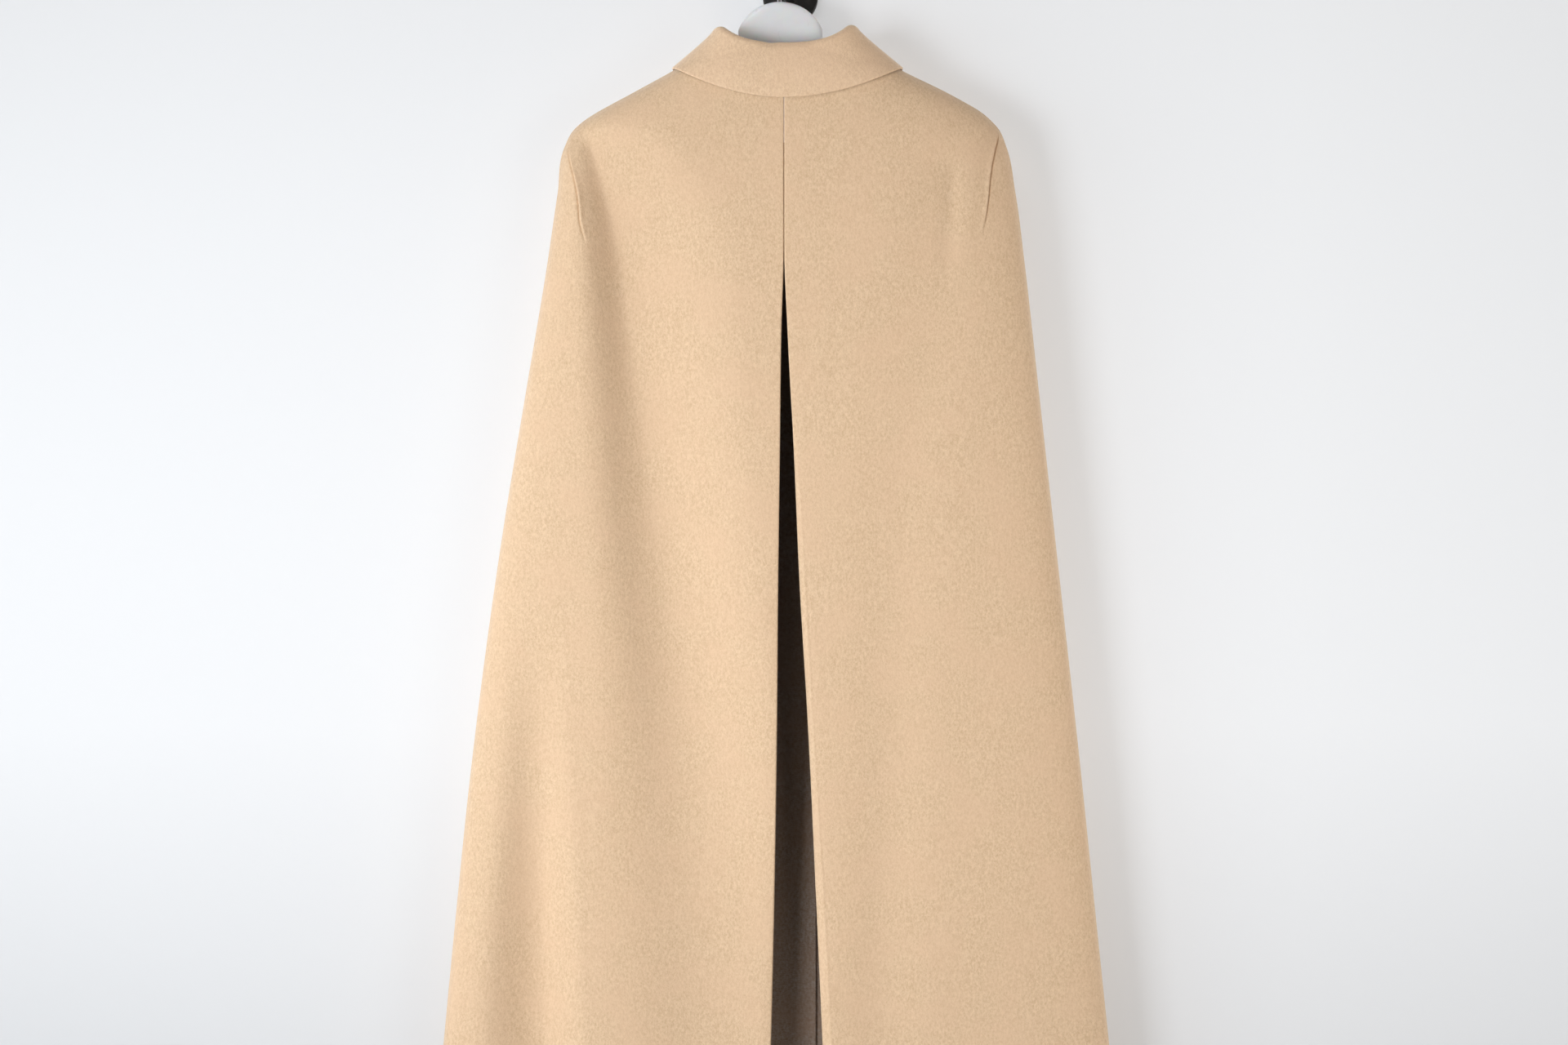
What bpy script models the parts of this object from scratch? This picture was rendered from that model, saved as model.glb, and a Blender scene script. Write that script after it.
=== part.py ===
"""A long wool cape hung by its hanger on a wall hook, seen with its back to the room.

Frame: the origin is the centre of the wall hook's flat back, on the wall. +X is to the right for
someone who looks at the wall, +Y goes into the wall and +Z is up. Sizes are in millimetres, and
heights are drops below the origin. The cape is one closed form round the hanger, read from a table
of level sections. An angle of 0 is its centre back, +90 degrees its right side and 180 its front.
"""

import math

import bpy
import numpy as np

MM = 0.001

# Where things stand.
CAPE_X = -6.4  # centre back seam, which hangs a little to the left of the peg
MIDDLE_Y = -58.0  # plane of the hanger, halfway through the cape
HEM_DROP = 1165.0

# Cloth.
CLOTH = 2.6  # double-faced wool
COLLAR_CLOTH = 2.8
SEAM_GAP = 0.3
COLLAR_SEAM_GAP = 1.0  # leaves room for the bend between the cape and the stand
SHOULDER_SEAM_BACK = 9.0  # the shoulder seam lies this far behind the ridge

# Neck seam: its drop at the shoulder, and how much lower it is at the centre back and front.
NECK_SIDE_DROP = 62.0
NECK_BACK_DEEPER = 33.0
NECK_FRONT_DEEPER = 84.0
NECK_BACK_CURVE = 4.5
NECK_FRONT_CURVE = 7.0

# Level sections of the outer face: half widths to each side of the centre back seam, half depths
# on the back and the front, and how square the corners are (2 is an ellipse).
SECTION_COLUMNS = ("drop", "left", "right", "back", "front", "square")
SECTIONS = (
    (50, 52, 54, 39, 35, 2.6),
    (62, 73, 77, 40, 36, 2.6),
    (83, 109, 116, 42, 38, 2.6),
    (107, 153, 165, 44, 39, 2.7),
    (123, 182, 192, 45, 40, 2.8),
    (131, 194, 201, 45, 40, 2.9),
    (139, 203, 208, 46, 40, 3.0),
    (155, 212, 215, 46, 40, 3.3),
    (202, 219, 224, 46, 40, 3.8),
    (266, 228, 232, 46, 39, 4.2),
    (393, 249, 246, 45, 38, 4.6),
    (520, 270, 260, 44, 37, 4.8),
    (774, 304, 288, 42, 35, 5.0),
    (900, 317, 301, 41, 34, 5.0),
    (1165, 342, 329, 40, 33, 5.0),
)

# The centre back is sewn down to the vent, and below it the two edges part.
VENT_COLUMNS = ("drop", "left", "right")
VENT_EDGES = (
    (240, -0.2, 0.2),
    (263, -0.3, 0.3),
    (332, -2.3, 3.1),
    (457, -3.9, 9.4),
    (582, -5.5, 14.8),
    (707, -6.6, 22.2),
    (895, -9.6, 31.0),
    (1165, -16.0, 43.0),
)
# The cloth rolls inwards along each edge of the vent.
EDGE_ROLL_COLUMNS = ("drop", "left", "right")
EDGE_ROLL_DEPTH = ((263, 0.0, 0.0), (450, 0.6, 1.2), (800, 1.4, 3.0), (1165, 2.0, 4.5))
EDGE_ROLL_WIDTH = 14.0

# Long soft hollows between the folds. Each row gives the bottom's place and depth, and how far
# the cloth takes to rise to the left and to the right of it.
FOLD_COLUMNS = ("drop", "across", "depth", "rise_left", "rise_right")
BACK_FOLDS = {
    "left_dart": (
        (140, -174, 0.0, 20, 50),
        (165, -172, 5.0, 22, 60),
        (215, -166, 13.5, 30, 76),
        (254, -160, 18.0, 40, 90),
        (330, -148, 19.0, 50, 92),
        (410, -135, 19.5, 63, 92),
        (520, -119, 19.5, 77, 92),
        (645, -99, 19.5, 95, 92),
        (801, -82, 17.5, 113, 105),
        (957, -66, 16.0, 130, 150),
        (1165, -58, 15.0, 138, 180),
    ),
    "left_side": (
        (600, -238, 0.0, 30, 34),
        (723, -238, 3.5, 38, 36),
        (801, -237, 8.0, 49, 38),
        (957, -233, 17.0, 68, 44),
        (1165, -230, 19.0, 78, 50),
    ),
    "right_dart": (
        (140, 170, 0.0, 54, 24),
        (165, 164, 2.5, 58, 28),
        (215, 160, 3.2, 60, 32),
        (277, 148, 3.2, 62, 44),
        (371, 129, 3.2, 62, 50),
        (457, 113, 3.2, 62, 54),
        (645, 101, 3.6, 56, 56),
        (801, 96, 4.2, 50, 56),
        (1165, 88, 4.5, 42, 58),
    ),
}
FRONT_FOLDS = {
    "left_dart": (
        (140, -170, 0.0, 24, 50),
        (215, -160, 8.5, 32, 66),
        (410, -138, 12.5, 56, 66),
        (801, -122, 13.5, 74, 62),
        (1165, -124, 14.0, 80, 60),
    ),
    "left_side": (
        (520, -214, 0.0, 30, 34),
        (801, -226, 7.0, 44, 44),
        (1165, -240, 13.0, 54, 56),
    ),
    "right_dart": (
        (140, 170, 0.0, 50, 24),
        (215, 160, 7.5, 62, 32),
        (410, 142, 11.0, 64, 54),
        (801, 134, 12.5, 60, 68),
        (1165, 140, 13.5, 60, 74),
    ),
    "right_side": (
        (640, 216, 0.0, 32, 30),
        (900, 232, 6.5, 42, 40),
        (1165, 246, 11.0, 50, 50),
    ),
}

# Fronts: each passes the centre by OVERLAP, the right one outside.
OVERLAP = 32.0
UNDERLAP_STEP = 18.0  # the left front moves inwards over this width
UNDERLAP_MARGIN = 20.0
UNDERLAP_AIR = 0.75
PAST_CENTRE_LOWER = 5.0  # past the centre a front's top edge falls free of the collar
PAST_CENTRE_ANGLE = math.radians(3.0)
NECK_SETTLING = 14  # rounds in which a panel's columns settle on the neck seam

# Collar: the width and inward lean of its stand, the crest where it folds over, and the edge of
# its fall on the cape.
STAND_BACK, STAND_LEFT, STAND_RIGHT, STAND_FRONT = 34.5, 22.5, 25.5, 22.5
LEAN_BACK, LEAN_SIDE, LEAN_FRONT = math.radians(9), math.radians(26), math.radians(6)
CREST_RADIUS = 4.4
FALL_BACK_DROP, FALL_POINT_DROP = 112.4, 186.0
FALL_SIDE_LEFT, FALL_SIDE_RIGHT = 107.0, 112.0
FALL_POINT_X, FALL_POINT_CURVE = 54.0, 2.5
FALL_LIFT = 1.3  # air between the fall's edge and the cape
FALL_BULGE = 1.0  # extra air under the middle of the fall
COLLAR_END = math.radians(178.0)
COLLAR_END_MARGIN = 0.02

# Hanger: a flat disc at the neck between two arms, and a wire hook in its top.
DOME_X, DOME_TOP_DROP, DOME_RADIUS = -10.0, 13.7, 44.4
DOME_HALF_DEPTH, ARM_HALF_DEPTH = 6.0, 15.0
DOME_HALF_TURN, DOME_RINGS = 68.0, 15
ARM_HEIGHT, ARM_AIR, ARM_RINGS = 26.0, 0.7, 10
ARM_END_MARGIN, SHOULDER_END_DROP = 34.0, 155.0  # an arm stops short of the shoulder's end
ARM_ROUND_START, ARM_ROUND_SPAN = 0.9, 0.1005  # shares of an arm over which its end is rounded
WIRE_RADIUS = 2.0
SHANK_X = -10.8
SHANK_INSERT, SOCKET_AIR = 12.0, 0.4
TIP_LENGTH = 5.0  # the hook's end past its bend

# Wall hook: a round plate, a peg and its end knob.
PLATE_RADIUS, PLATE_THICKNESS, PLATE_ROUND = 27.3, 8.0, 2.0
PEG_RADIUS, PEG_LENGTH, PEG_FILLET = 6.0, 72.0, 1.5
KNOB_RADIUS, KNOB_LENGTH, KNOB_FLATNESS = 9.0, 8.0, 0.8

# Button on the right front, just under the collar.
BUTTON_DROP, BUTTON_RADIUS, BUTTON_THICKNESS = 172.0, 12.0, 4.0
BUTTON_EDGE, BUTTON_AIR = 1.0, 0.4

# How finely the cloth is divided.
BACK_COLUMNS, FRONT_COLUMNS = 22, 18
SHOULDER_ROWS, LOWER_ROWS, SHOULDER_SHARE = 12, 21, 0.09
ROW_CROWDING, COLUMN_CROWDING = 1.3, 1.3
BEND_STEPS, FALL_STEPS = 4, 4  # of the collar, round its crest and down its fall

# Colour, roughness and metallic of each finish.
FINISHES = {
    "camel_wool": ((0.807, 0.604, 0.402, 1.0), 0.95, 0.0),
    "white_plastic": ((0.82, 0.82, 0.81, 1.0), 0.35, 0.0),
    "bright_wire": ((0.75, 0.75, 0.76, 1.0), 0.15, 1.0),
    "black_metal": ((0.012, 0.012, 0.012, 1.0), 0.45, 0.0),
    "horn": ((0.34, 0.20, 0.11, 1.0), 0.3, 0.0),
}


def smooth(at, stations, values):
    """Read values between stations on a smooth curve that passes through each of them."""
    stations = np.asarray(stations, dtype=float)
    values = np.asarray(values, dtype=float)
    at = np.asarray(at, dtype=float)
    slopes = np.gradient(values, stations, axis=0)
    low = np.clip(np.searchsorted(stations, at, side="right") - 1, 0, len(stations) - 2)
    span = stations[low + 1] - stations[low]
    t = np.clip((at - stations[low]) / span, 0.0, 1.0)
    if values.ndim > 1:
        t, span = t[..., None], span[..., None]
    start, end = values[low], values[low + 1]
    rise = (2 * t**3 - 3 * t**2 + 1) * start + (3 * t**2 - 2 * t**3) * end
    return rise + span * ((t**3 - 2 * t**2 + t) * slopes[low] + (t**3 - t**2) * slopes[low + 1])


def read(table, columns, name, drop):
    """One column of a table, read at any drop."""
    rows = np.asarray(table, dtype=float)
    return smooth(drop, rows[:, 0], rows[:, columns.index(name)])


def section(name, drop):
    """A size of the level section at this drop."""
    return read(SECTIONS, SECTION_COLUMNS, name, drop)


def soft_step(t):
    """0 to 1 with no corner at either end."""
    t = np.clip(t, 0.0, 1.0)
    return t * t * (3 - 2 * t)


def fold_depth(folds, across, drop):
    """How far the cloth lies inside its section, summed over the folds, each in its own half."""
    total = np.zeros(np.broadcast(across, drop).shape)
    for rows in folds.values():
        bottom, depth, left, right = (
            read(rows, FOLD_COLUMNS, name, drop) for name in FOLD_COLUMNS[1:]
        )
        from_bottom = (across - bottom) / np.where(across < bottom, left, right)
        profile = 0.5 + 0.5 * np.cos(np.pi * np.clip(from_bottom, -1.0, 1.0))
        reached = (drop >= rows[0][0]) & (np.sign(across) == np.sign(bottom))
        total = total + np.where(reached, np.maximum(depth, 0.0) * profile, 0.0)
    return total


def edge_roll(across, drop):
    """How far the cloth turns inwards beside the vent."""
    total = np.zeros(np.broadcast(across, drop).shape)
    for side, sign in (("left", -1.0), ("right", 1.0)):
        edge = read(VENT_EDGES, VENT_COLUMNS, side, drop)
        depth = read(EDGE_ROLL_DEPTH, EDGE_ROLL_COLUMNS, side, drop)
        from_edge = np.clip((across - edge) * sign / EDGE_ROLL_WIDTH, 0.0, 1.0)
        on_side = across * sign > 0
        total = total + np.where(on_side, depth * (1.0 - from_edge) ** 2, 0.0)
    return total


def cape_point(angle, drop):
    """Points of the cape's outer face, in millimetres."""
    angle, drop = np.broadcast_arrays(np.asarray(angle, float), np.asarray(drop, float))
    across, back = np.sin(angle), np.cos(angle)
    half_width = np.where(across >= 0, section("right", drop), section("left", drop))
    half_depth = np.where(back >= 0, section("back", drop), section("front", drop))
    power = section("square", drop)
    reach = (np.abs(across) ** power + np.abs(back) ** power) ** (1.0 / power)
    x = half_width * across / reach
    inwards = np.where(
        back >= 0,
        fold_depth(BACK_FOLDS, x, drop) + edge_roll(x, drop),
        fold_depth(FRONT_FOLDS, x, drop),
    )
    y = -half_depth * back / reach + np.sign(back) * inwards
    return np.stack([CAPE_X + x, MIDDLE_Y + y, -drop], axis=-1)


def cape_outwards(angle, drop):
    """Unit directions straight out of the cape's outer face."""
    turn, step = 0.004, 1.0
    round_it = cape_point(angle + turn, drop) - cape_point(angle - turn, drop)
    down_it = cape_point(angle, drop + step) - cape_point(angle, drop - step)
    out = np.cross(down_it, round_it)
    return out / np.linalg.norm(out, axis=-1, keepdims=True)


def angle_at(across, drop, front=False):
    """The angle of a point that lies this far from the centre on the section at this drop."""
    half_width = np.where(across >= 0, section("right", drop), section("left", drop))
    power = section("square", drop)
    share = np.clip(np.abs(across) / half_width, 0.0, 1.0)
    angle = np.arctan2(share, (1.0 - share**power) ** (1.0 / power))
    return np.sign(across) * np.where(front, np.pi - angle, angle)


def neck_drop(angle):
    """Drop of the neck seam at an angle."""
    back = np.cos(angle)
    behind = NECK_BACK_DEEPER * np.clip(back, 0.0, 1.0) ** NECK_BACK_CURVE
    before = NECK_FRONT_DEEPER * np.clip(-back, 0.0, 1.0) ** NECK_FRONT_CURVE
    past = soft_step((np.abs(angle) - np.pi) / PAST_CENTRE_ANGLE)
    return NECK_SIDE_DROP + behind + before + PAST_CENTRE_LOWER * past


def side_seam_angle(drop):
    """Angle of the seam that runs along the shoulder and down the side."""
    behind = SHOULDER_SEAM_BACK / section("back", drop)
    return np.pi / 2 - np.arcsin(behind)


def seam_angle_gap(drop):
    """Half of a seam's gap, as an angle at the side."""
    return 0.5 * SEAM_GAP / section("front", drop)


def panel_rows(start_angle, end_angle, columns):
    """A panel's angles and drops, from the neck to the hem and from one edge to the other.

    start_angle and end_angle give the panel's two edges at any drop.
    """
    share = (np.linspace(0.0, 1.0, columns) ** COLUMN_CROWDING)[None, :]
    shoulder = np.linspace(0.0, SHOULDER_SHARE, SHOULDER_ROWS, endpoint=False)
    lower = np.linspace(0.0, 1.0, LOWER_ROWS) ** ROW_CROWDING
    fall = np.concatenate([shoulder, SHOULDER_SHARE + (1.0 - SHOULDER_SHARE) * lower])[:, None]
    top = np.full_like(share, NECK_SIDE_DROP)
    for _ in range(NECK_SETTLING):
        first, last = start_angle(top), end_angle(top)
        top = neck_drop(first + (last - first) * share)
    drop = top + (HEM_DROP - top) * fall
    first, last = start_angle(drop), end_angle(drop)
    return first + (last - first) * share, drop


def back_edges(side):
    """The vent and side edges of a back half, as angles at a drop."""
    sign = 1.0 if side == "right" else -1.0

    def vent(drop):
        edge = read(VENT_EDGES, VENT_COLUMNS, side, drop)
        return np.arctan2(edge, section(side, drop))

    def outer(drop):
        return sign * (side_seam_angle(drop) - seam_angle_gap(drop))

    return vent, outer


def front_edges(side):
    """The front and side edges of a front half, as angles at a drop."""
    sign, other = (1.0, "left") if side == "right" else (-1.0, "right")

    def centre(drop):
        return sign * (np.pi + np.arctan2(OVERLAP, section(other, drop)))

    def outer(drop):
        return sign * (side_seam_angle(drop) + seam_angle_gap(drop))

    return centre, outer


def underlap_depth(across):
    """How far the left front lies inside the right one."""
    start = -OVERLAP - UNDERLAP_MARGIN - UNDERLAP_STEP
    return (CLOTH + UNDERLAP_AIR) * soft_step((across - start) / UNDERLAP_STEP)


def material(name):
    """The named finish as a Principled material, made once."""
    found = bpy.data.materials.get(name)
    if found:
        return found
    colour, roughness, metallic = FINISHES[name]
    made = bpy.data.materials.new(name)
    made.use_nodes = True
    shader = made.node_tree.nodes["Principled BSDF"]
    shader.inputs["Base Color"].default_value = colour
    shader.inputs["Roughness"].default_value = roughness
    shader.inputs["Metallic"].default_value = metallic
    made.diffuse_color = colour
    return made


def add_object(name, points, faces, finish, crease=40.0):
    """A named mesh object from points in millimetres."""
    mesh = bpy.data.meshes.new(name)
    mesh.from_pydata((np.asarray(points).reshape(-1, 3) * MM).tolist(), [], faces)
    mesh.validate()
    mesh.materials.append(material(finish))
    mesh.shade_smooth()
    mesh.set_sharp_from_angle(angle=math.radians(crease))
    made = bpy.data.objects.new(name, mesh)
    bpy.context.scene.collection.objects.link(made)
    return made


def grid_faces(rows, columns, first=0, flip=False):
    """Four-sided faces between the points of a grid."""
    faces = []
    for row in range(rows - 1):
        for column in range(columns - 1):
            a = first + row * columns + column
            face = (a, a + 1, a + columns + 1, a + columns)
            faces.append(face[::-1] if flip else face)
    return faces


def grid_border(rows, columns):
    """Indices of a grid's border, once round."""
    top = [column for column in range(columns)]
    right = [row * columns + columns - 1 for row in range(1, rows)]
    bottom = [(rows - 1) * columns + column for column in range(columns - 2, -1, -1)]
    left = [row * columns for row in range(rows - 2, 0, -1)]
    return top + right + bottom + left


def wall_between(name, outer, inner, finish, flip=False):
    """A closed wall of cloth between an outer and an inner grid of points."""
    rows, columns = outer.shape[:2]
    count = rows * columns
    faces = grid_faces(rows, columns, flip=not flip)
    faces += grid_faces(rows, columns, first=count, flip=flip)
    border = grid_border(rows, columns)
    for here, after in zip(border, border[1:] + border[:1]):
        rim = (here, after, after + count, here + count)
        faces.append(rim[::-1] if flip else rim)
    points = np.concatenate([outer.reshape(-1, 3), inner.reshape(-1, 3)])
    return add_object(name, points, faces, finish)


def rings_object(name, rings, finish, crease=40.0):
    """A closed body through rings of equal count, capped by a fan at each end."""
    rings = np.asarray(rings)
    count, around = rings.shape[:2]
    points = rings.reshape(-1, 3).tolist()
    faces = []
    for ring in range(count - 1):
        for step in range(around):
            after = (step + 1) % around
            a, b = ring * around + step, ring * around + after
            faces.append((a, b, b + around, a + around))
    for ring, towards in ((0, -1), (count - 1, 1)):
        centre = len(points)
        points.append(rings[ring].mean(axis=0).tolist())
        for step in range(around):
            pair = (ring * around + step, ring * around + (step + 1) % around)
            faces.append((*pair[::towards], centre) if towards > 0 else (pair[1], pair[0], centre))
    return add_object(name, points, faces, finish, crease)


def make_back(side):
    """A back half, from the centre seam and vent to the side."""
    angle, drop = panel_rows(*back_edges(side), BACK_COLUMNS)
    outer = cape_point(angle, drop)
    inner = outer - CLOTH * cape_outwards(angle, drop)
    return wall_between(f"back_{side}", outer, inner, "camel_wool", flip=side == "left")


def make_front(side):
    """A front half, from the overlap to the side."""
    angle, drop = panel_rows(*front_edges(side), FRONT_COLUMNS)
    outwards = cape_outwards(angle, drop)
    outer = cape_point(angle, drop)
    if side == "left":
        outer = outer - underlap_depth(outer[..., :1] - CAPE_X) * outwards
    inner = outer - CLOTH * outwards
    return wall_between(f"front_{side}", outer, inner, "camel_wool", flip=side == "right")


def neck_angles():
    """The angles of the collar's columns, which meet the columns of the panels at the neck."""
    halves = []
    for side in ("left", "right"):
        back = np.abs(panel_rows(*back_edges(side), BACK_COLUMNS)[0][0])
        front = np.abs(panel_rows(*front_edges(side), FRONT_COLUMNS)[0][0])
        front = front[front < COLLAR_END - COLLAR_END_MARGIN]
        seam = 0.5 * (back[-1] + front[-1])
        halves.append(np.concatenate([back[1:-1], [seam], front[-2::-1], [COLLAR_END]]))
    return np.concatenate([-halves[0][::-1], [0.0], halves[1]])


def square_to(directions, along):
    """Unit directions with what they have in common with another direction taken out."""
    along = along / np.linalg.norm(along, axis=1, keepdims=True)
    left = directions - along * np.sum(directions * along, axis=1, keepdims=True)
    return left / np.linalg.norm(left, axis=1, keepdims=True)


def collar_lines(angle):
    """Lines of the collar across its width, from the neck seam over the crest to the edge."""
    seam_drop = neck_drop(angle)
    out = cape_outwards(angle, seam_drop)
    base = cape_point(angle, seam_drop) - 0.5 * CLOTH * out
    off_the_panels = np.cross(out, np.gradient(base, angle, axis=0))
    off_the_panels /= np.linalg.norm(off_the_panels, axis=1, keepdims=True)
    centre = np.array([CAPE_X, MIDDLE_Y, 0.0])
    plan = (base - centre) * np.array([1.0, 1.0, 0.0])
    half = np.array([section("right", NECK_SIDE_DROP), section("back", NECK_SIDE_DROP)])
    turn = np.arctan2(plan[:, 0] / half[0], -plan[:, 1] / half[1])
    sideways, behind = np.abs(np.sin(turn)), np.cos(turn) >= 0
    lengthways = 1.0 - sideways**2

    def between(back, side, front):
        return side + (np.where(behind, back, front) - side) * lengthways

    lean = between(LEAN_BACK, LEAN_SIDE, LEAN_FRONT)[:, None]
    level_out = plan / np.linalg.norm(plan, axis=1, keepdims=True)
    up = np.array([0.0, 0.0, 1.0])
    rise = np.cos(lean) * up - np.sin(lean) * level_out
    on_the_front = np.where(behind, 0.0, lengthways)[:, None]
    front_rise = np.cos(LEAN_FRONT) * off_the_panels - np.sin(LEAN_FRONT) * out
    rise = rise + (front_rise - rise) * on_the_front
    rise /= np.linalg.norm(rise, axis=1, keepdims=True)
    base = base + off_the_panels * COLLAR_SEAM_GAP
    stand_side = np.where(angle < 0, STAND_LEFT, STAND_RIGHT)
    crest = base + rise * between(STAND_BACK, stand_side, STAND_FRONT)[:, None]
    along = np.gradient(crest, angle, axis=0)
    rise = square_to(rise, along)
    over = np.cross(along, rise)
    over /= np.linalg.norm(over, axis=1, keepdims=True)

    side_x = np.where(angle < 0, FALL_SIDE_LEFT, FALL_SIDE_RIGHT)
    side_drop = np.where(angle < 0, ridge_drop(-FALL_SIDE_LEFT), ridge_drop(FALL_SIDE_RIGHT))
    to_point = 1.0 - sideways**FALL_POINT_CURVE
    edge_across = np.sign(angle) * np.where(
        behind, side_x * sideways, side_x + (FALL_POINT_X - side_x) * to_point
    )
    edge_drop = side_drop + np.where(
        behind, (FALL_BACK_DROP - side_drop) * lengthways, (FALL_POINT_DROP - side_drop) * to_point
    )
    clear = 0.5 * COLLAR_CLOTH + FALL_LIFT
    edge_angle = angle_at(edge_across, edge_drop, ~behind)
    edge = cape_point(edge_angle, edge_drop) + clear * cape_outwards(edge_angle, edge_drop)

    bend_centre = crest - rise * CREST_RADIUS
    bend = [
        bend_centre + CREST_RADIUS * (math.sin(bent) * over + math.cos(bent) * rise)
        for bent in np.linspace(-0.5, 0.5, BEND_STEPS + 1) * np.pi
    ]
    steps = np.linspace(0.0, 1.0, FALL_STEPS + 1)[1:]
    fall = [bend[-1] + (edge - bend[-1]) * share for share in steps]
    return np.stack([base, 0.5 * (base + bend[0]), *bend, *fall])


def section_ratio(points):
    """1 on the cape's sections, more outside them and less inside, leaving out the folds."""
    across, along, drop = points[..., 0] - CAPE_X, points[..., 1] - MIDDLE_Y, -points[..., 2]
    half_width = np.where(across >= 0, section("right", drop), section("left", drop))
    half_depth = np.where(along <= 0, section("back", drop), section("front", drop))
    power = section("square", drop)
    total = np.abs(across / half_width) ** power + np.abs(along / half_depth) ** power
    return total ** (1.0 / power)


def lifted_clear(grid, first_row):
    """The grid with the rows of the fall moved out to where they clear the cape below them."""
    fall, step = grid[first_row:], 0.5
    slope = np.stack(
        [section_ratio(fall + move) - section_ratio(fall - move) for move in np.eye(3) * step],
        axis=-1,
    ) / (2 * step)
    steepness = np.linalg.norm(slope, axis=-1, keepdims=True)
    height = (section_ratio(fall)[..., None] - 1.0) / steepness
    share = np.linspace(0.0, np.pi, len(fall))[:, None, None]
    wanted = 0.5 * COLLAR_CLOTH + FALL_LIFT + FALL_BULGE * np.sin(share)
    lifted = grid.copy()
    lifted[first_row:] = fall + np.clip(wanted - height, 0.0, None) * slope / steepness
    return lifted


def grid_outwards(grid):
    """Unit directions across a grid of points, from its neighbours."""
    along_rows, along_columns = np.gradient(grid, axis=0), np.gradient(grid, axis=1)
    out = np.cross(along_rows, along_columns)
    return out / np.linalg.norm(out, axis=-1, keepdims=True)


def make_collar():
    """The collar in one piece: a stand inside, a crest and a fall over the cape."""
    middle = lifted_clear(collar_lines(neck_angles()), -FALL_STEPS - 1)
    half = 0.5 * COLLAR_CLOTH * grid_outwards(middle)
    return wall_between("collar", middle + half, middle - half, "camel_wool")


def ridge_drop(across):
    """Drop of the shoulder ridge at a distance from the centre, by looking it up."""
    drops = np.linspace(SECTIONS[0][0], SHOULDER_END_DROP, 200)
    side = "right" if across >= 0 else "left"
    return float(np.interp(abs(across), section(side, drops), drops))


def arm_top_drop(across):
    """Drop of the hanger's arm, just under the cloth of the shoulder."""
    step = 4.0
    rise = (ridge_drop(across + step) - ridge_drop(across - step)) / (2 * step)
    return ridge_drop(across) + (CLOTH + ARM_AIR) * math.hypot(1.0, rise)


def hanger_ring(across, arm_end):
    """One upright ring of the hanger, at a distance from the cape's centre."""
    dome_edge = DOME_RADIUS * math.sin(math.radians(DOME_HALF_TURN))
    from_dome = across + CAPE_X - DOME_X
    top = arm_top_drop(math.copysign(max(abs(across), dome_edge), across))
    bottom = top + ARM_HEIGHT
    if abs(from_dome) < dome_edge:
        top = DOME_TOP_DROP + DOME_RADIUS - math.sqrt(DOME_RADIUS**2 - from_dome**2)
    outness = min(abs(across) / arm_end, 1.0)
    rounded = max(outness - ARM_ROUND_START, 0.0) / ARM_ROUND_SPAN
    full = math.sqrt(1.0 - rounded**2)
    half_height = 0.5 * (bottom - top) * full
    middle = top + half_height if rounded > 0 else 0.5 * (top + bottom)
    half_depth = full * (DOME_HALF_DEPTH + (ARM_HALF_DEPTH - DOME_HALF_DEPTH) * soft_step(outness))
    turns = np.linspace(0.0, 2 * np.pi, 12, endpoint=False)
    y = MIDDLE_Y + half_depth * np.cos(turns)
    z = half_height * np.sin(turns) - middle
    return np.stack([np.full_like(turns, CAPE_X + across), y, z], axis=1)


def make_hanger():
    """A disc at the neck between two rounded arms, with a socket for the wire."""
    dome_turns = np.radians(np.linspace(-DOME_HALF_TURN, DOME_HALF_TURN, DOME_RINGS))
    dome = DOME_X - CAPE_X + DOME_RADIUS * np.sin(dome_turns)
    left_end = -float(section("left", SHOULDER_END_DROP)) + ARM_END_MARGIN
    right_end = float(section("right", SHOULDER_END_DROP)) - ARM_END_MARGIN
    left_arm = np.linspace(left_end, dome[0], ARM_RINGS, endpoint=False)
    right_arm = np.linspace(dome[-1], right_end, ARM_RINGS + 1)[1:]
    rings = []
    for across in np.concatenate([left_arm, dome, right_arm]):
        rings.append(hanger_ring(float(across), -left_end if across < 0 else right_end))
    hanger = rings_object("hanger", rings, "white_plastic")
    bpy.ops.mesh.primitive_cylinder_add(
        vertices=16,
        radius=(WIRE_RADIUS + SOCKET_AIR) * MM,
        depth=2 * (SHANK_INSERT + SOCKET_AIR) * MM,
        location=(SHANK_X * MM, MIDDLE_Y * MM, -DOME_TOP_DROP * MM),
    )
    socket = bpy.context.object
    socket.name = "socket_cutter"
    socket.display_type = "WIRE"
    socket.hide_render = True
    bored = hanger.modifiers.new("socket", "BOOLEAN")
    bored.operation = "DIFFERENCE"
    bored.solver = "EXACT"
    bored.object = socket
    return hanger


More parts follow.
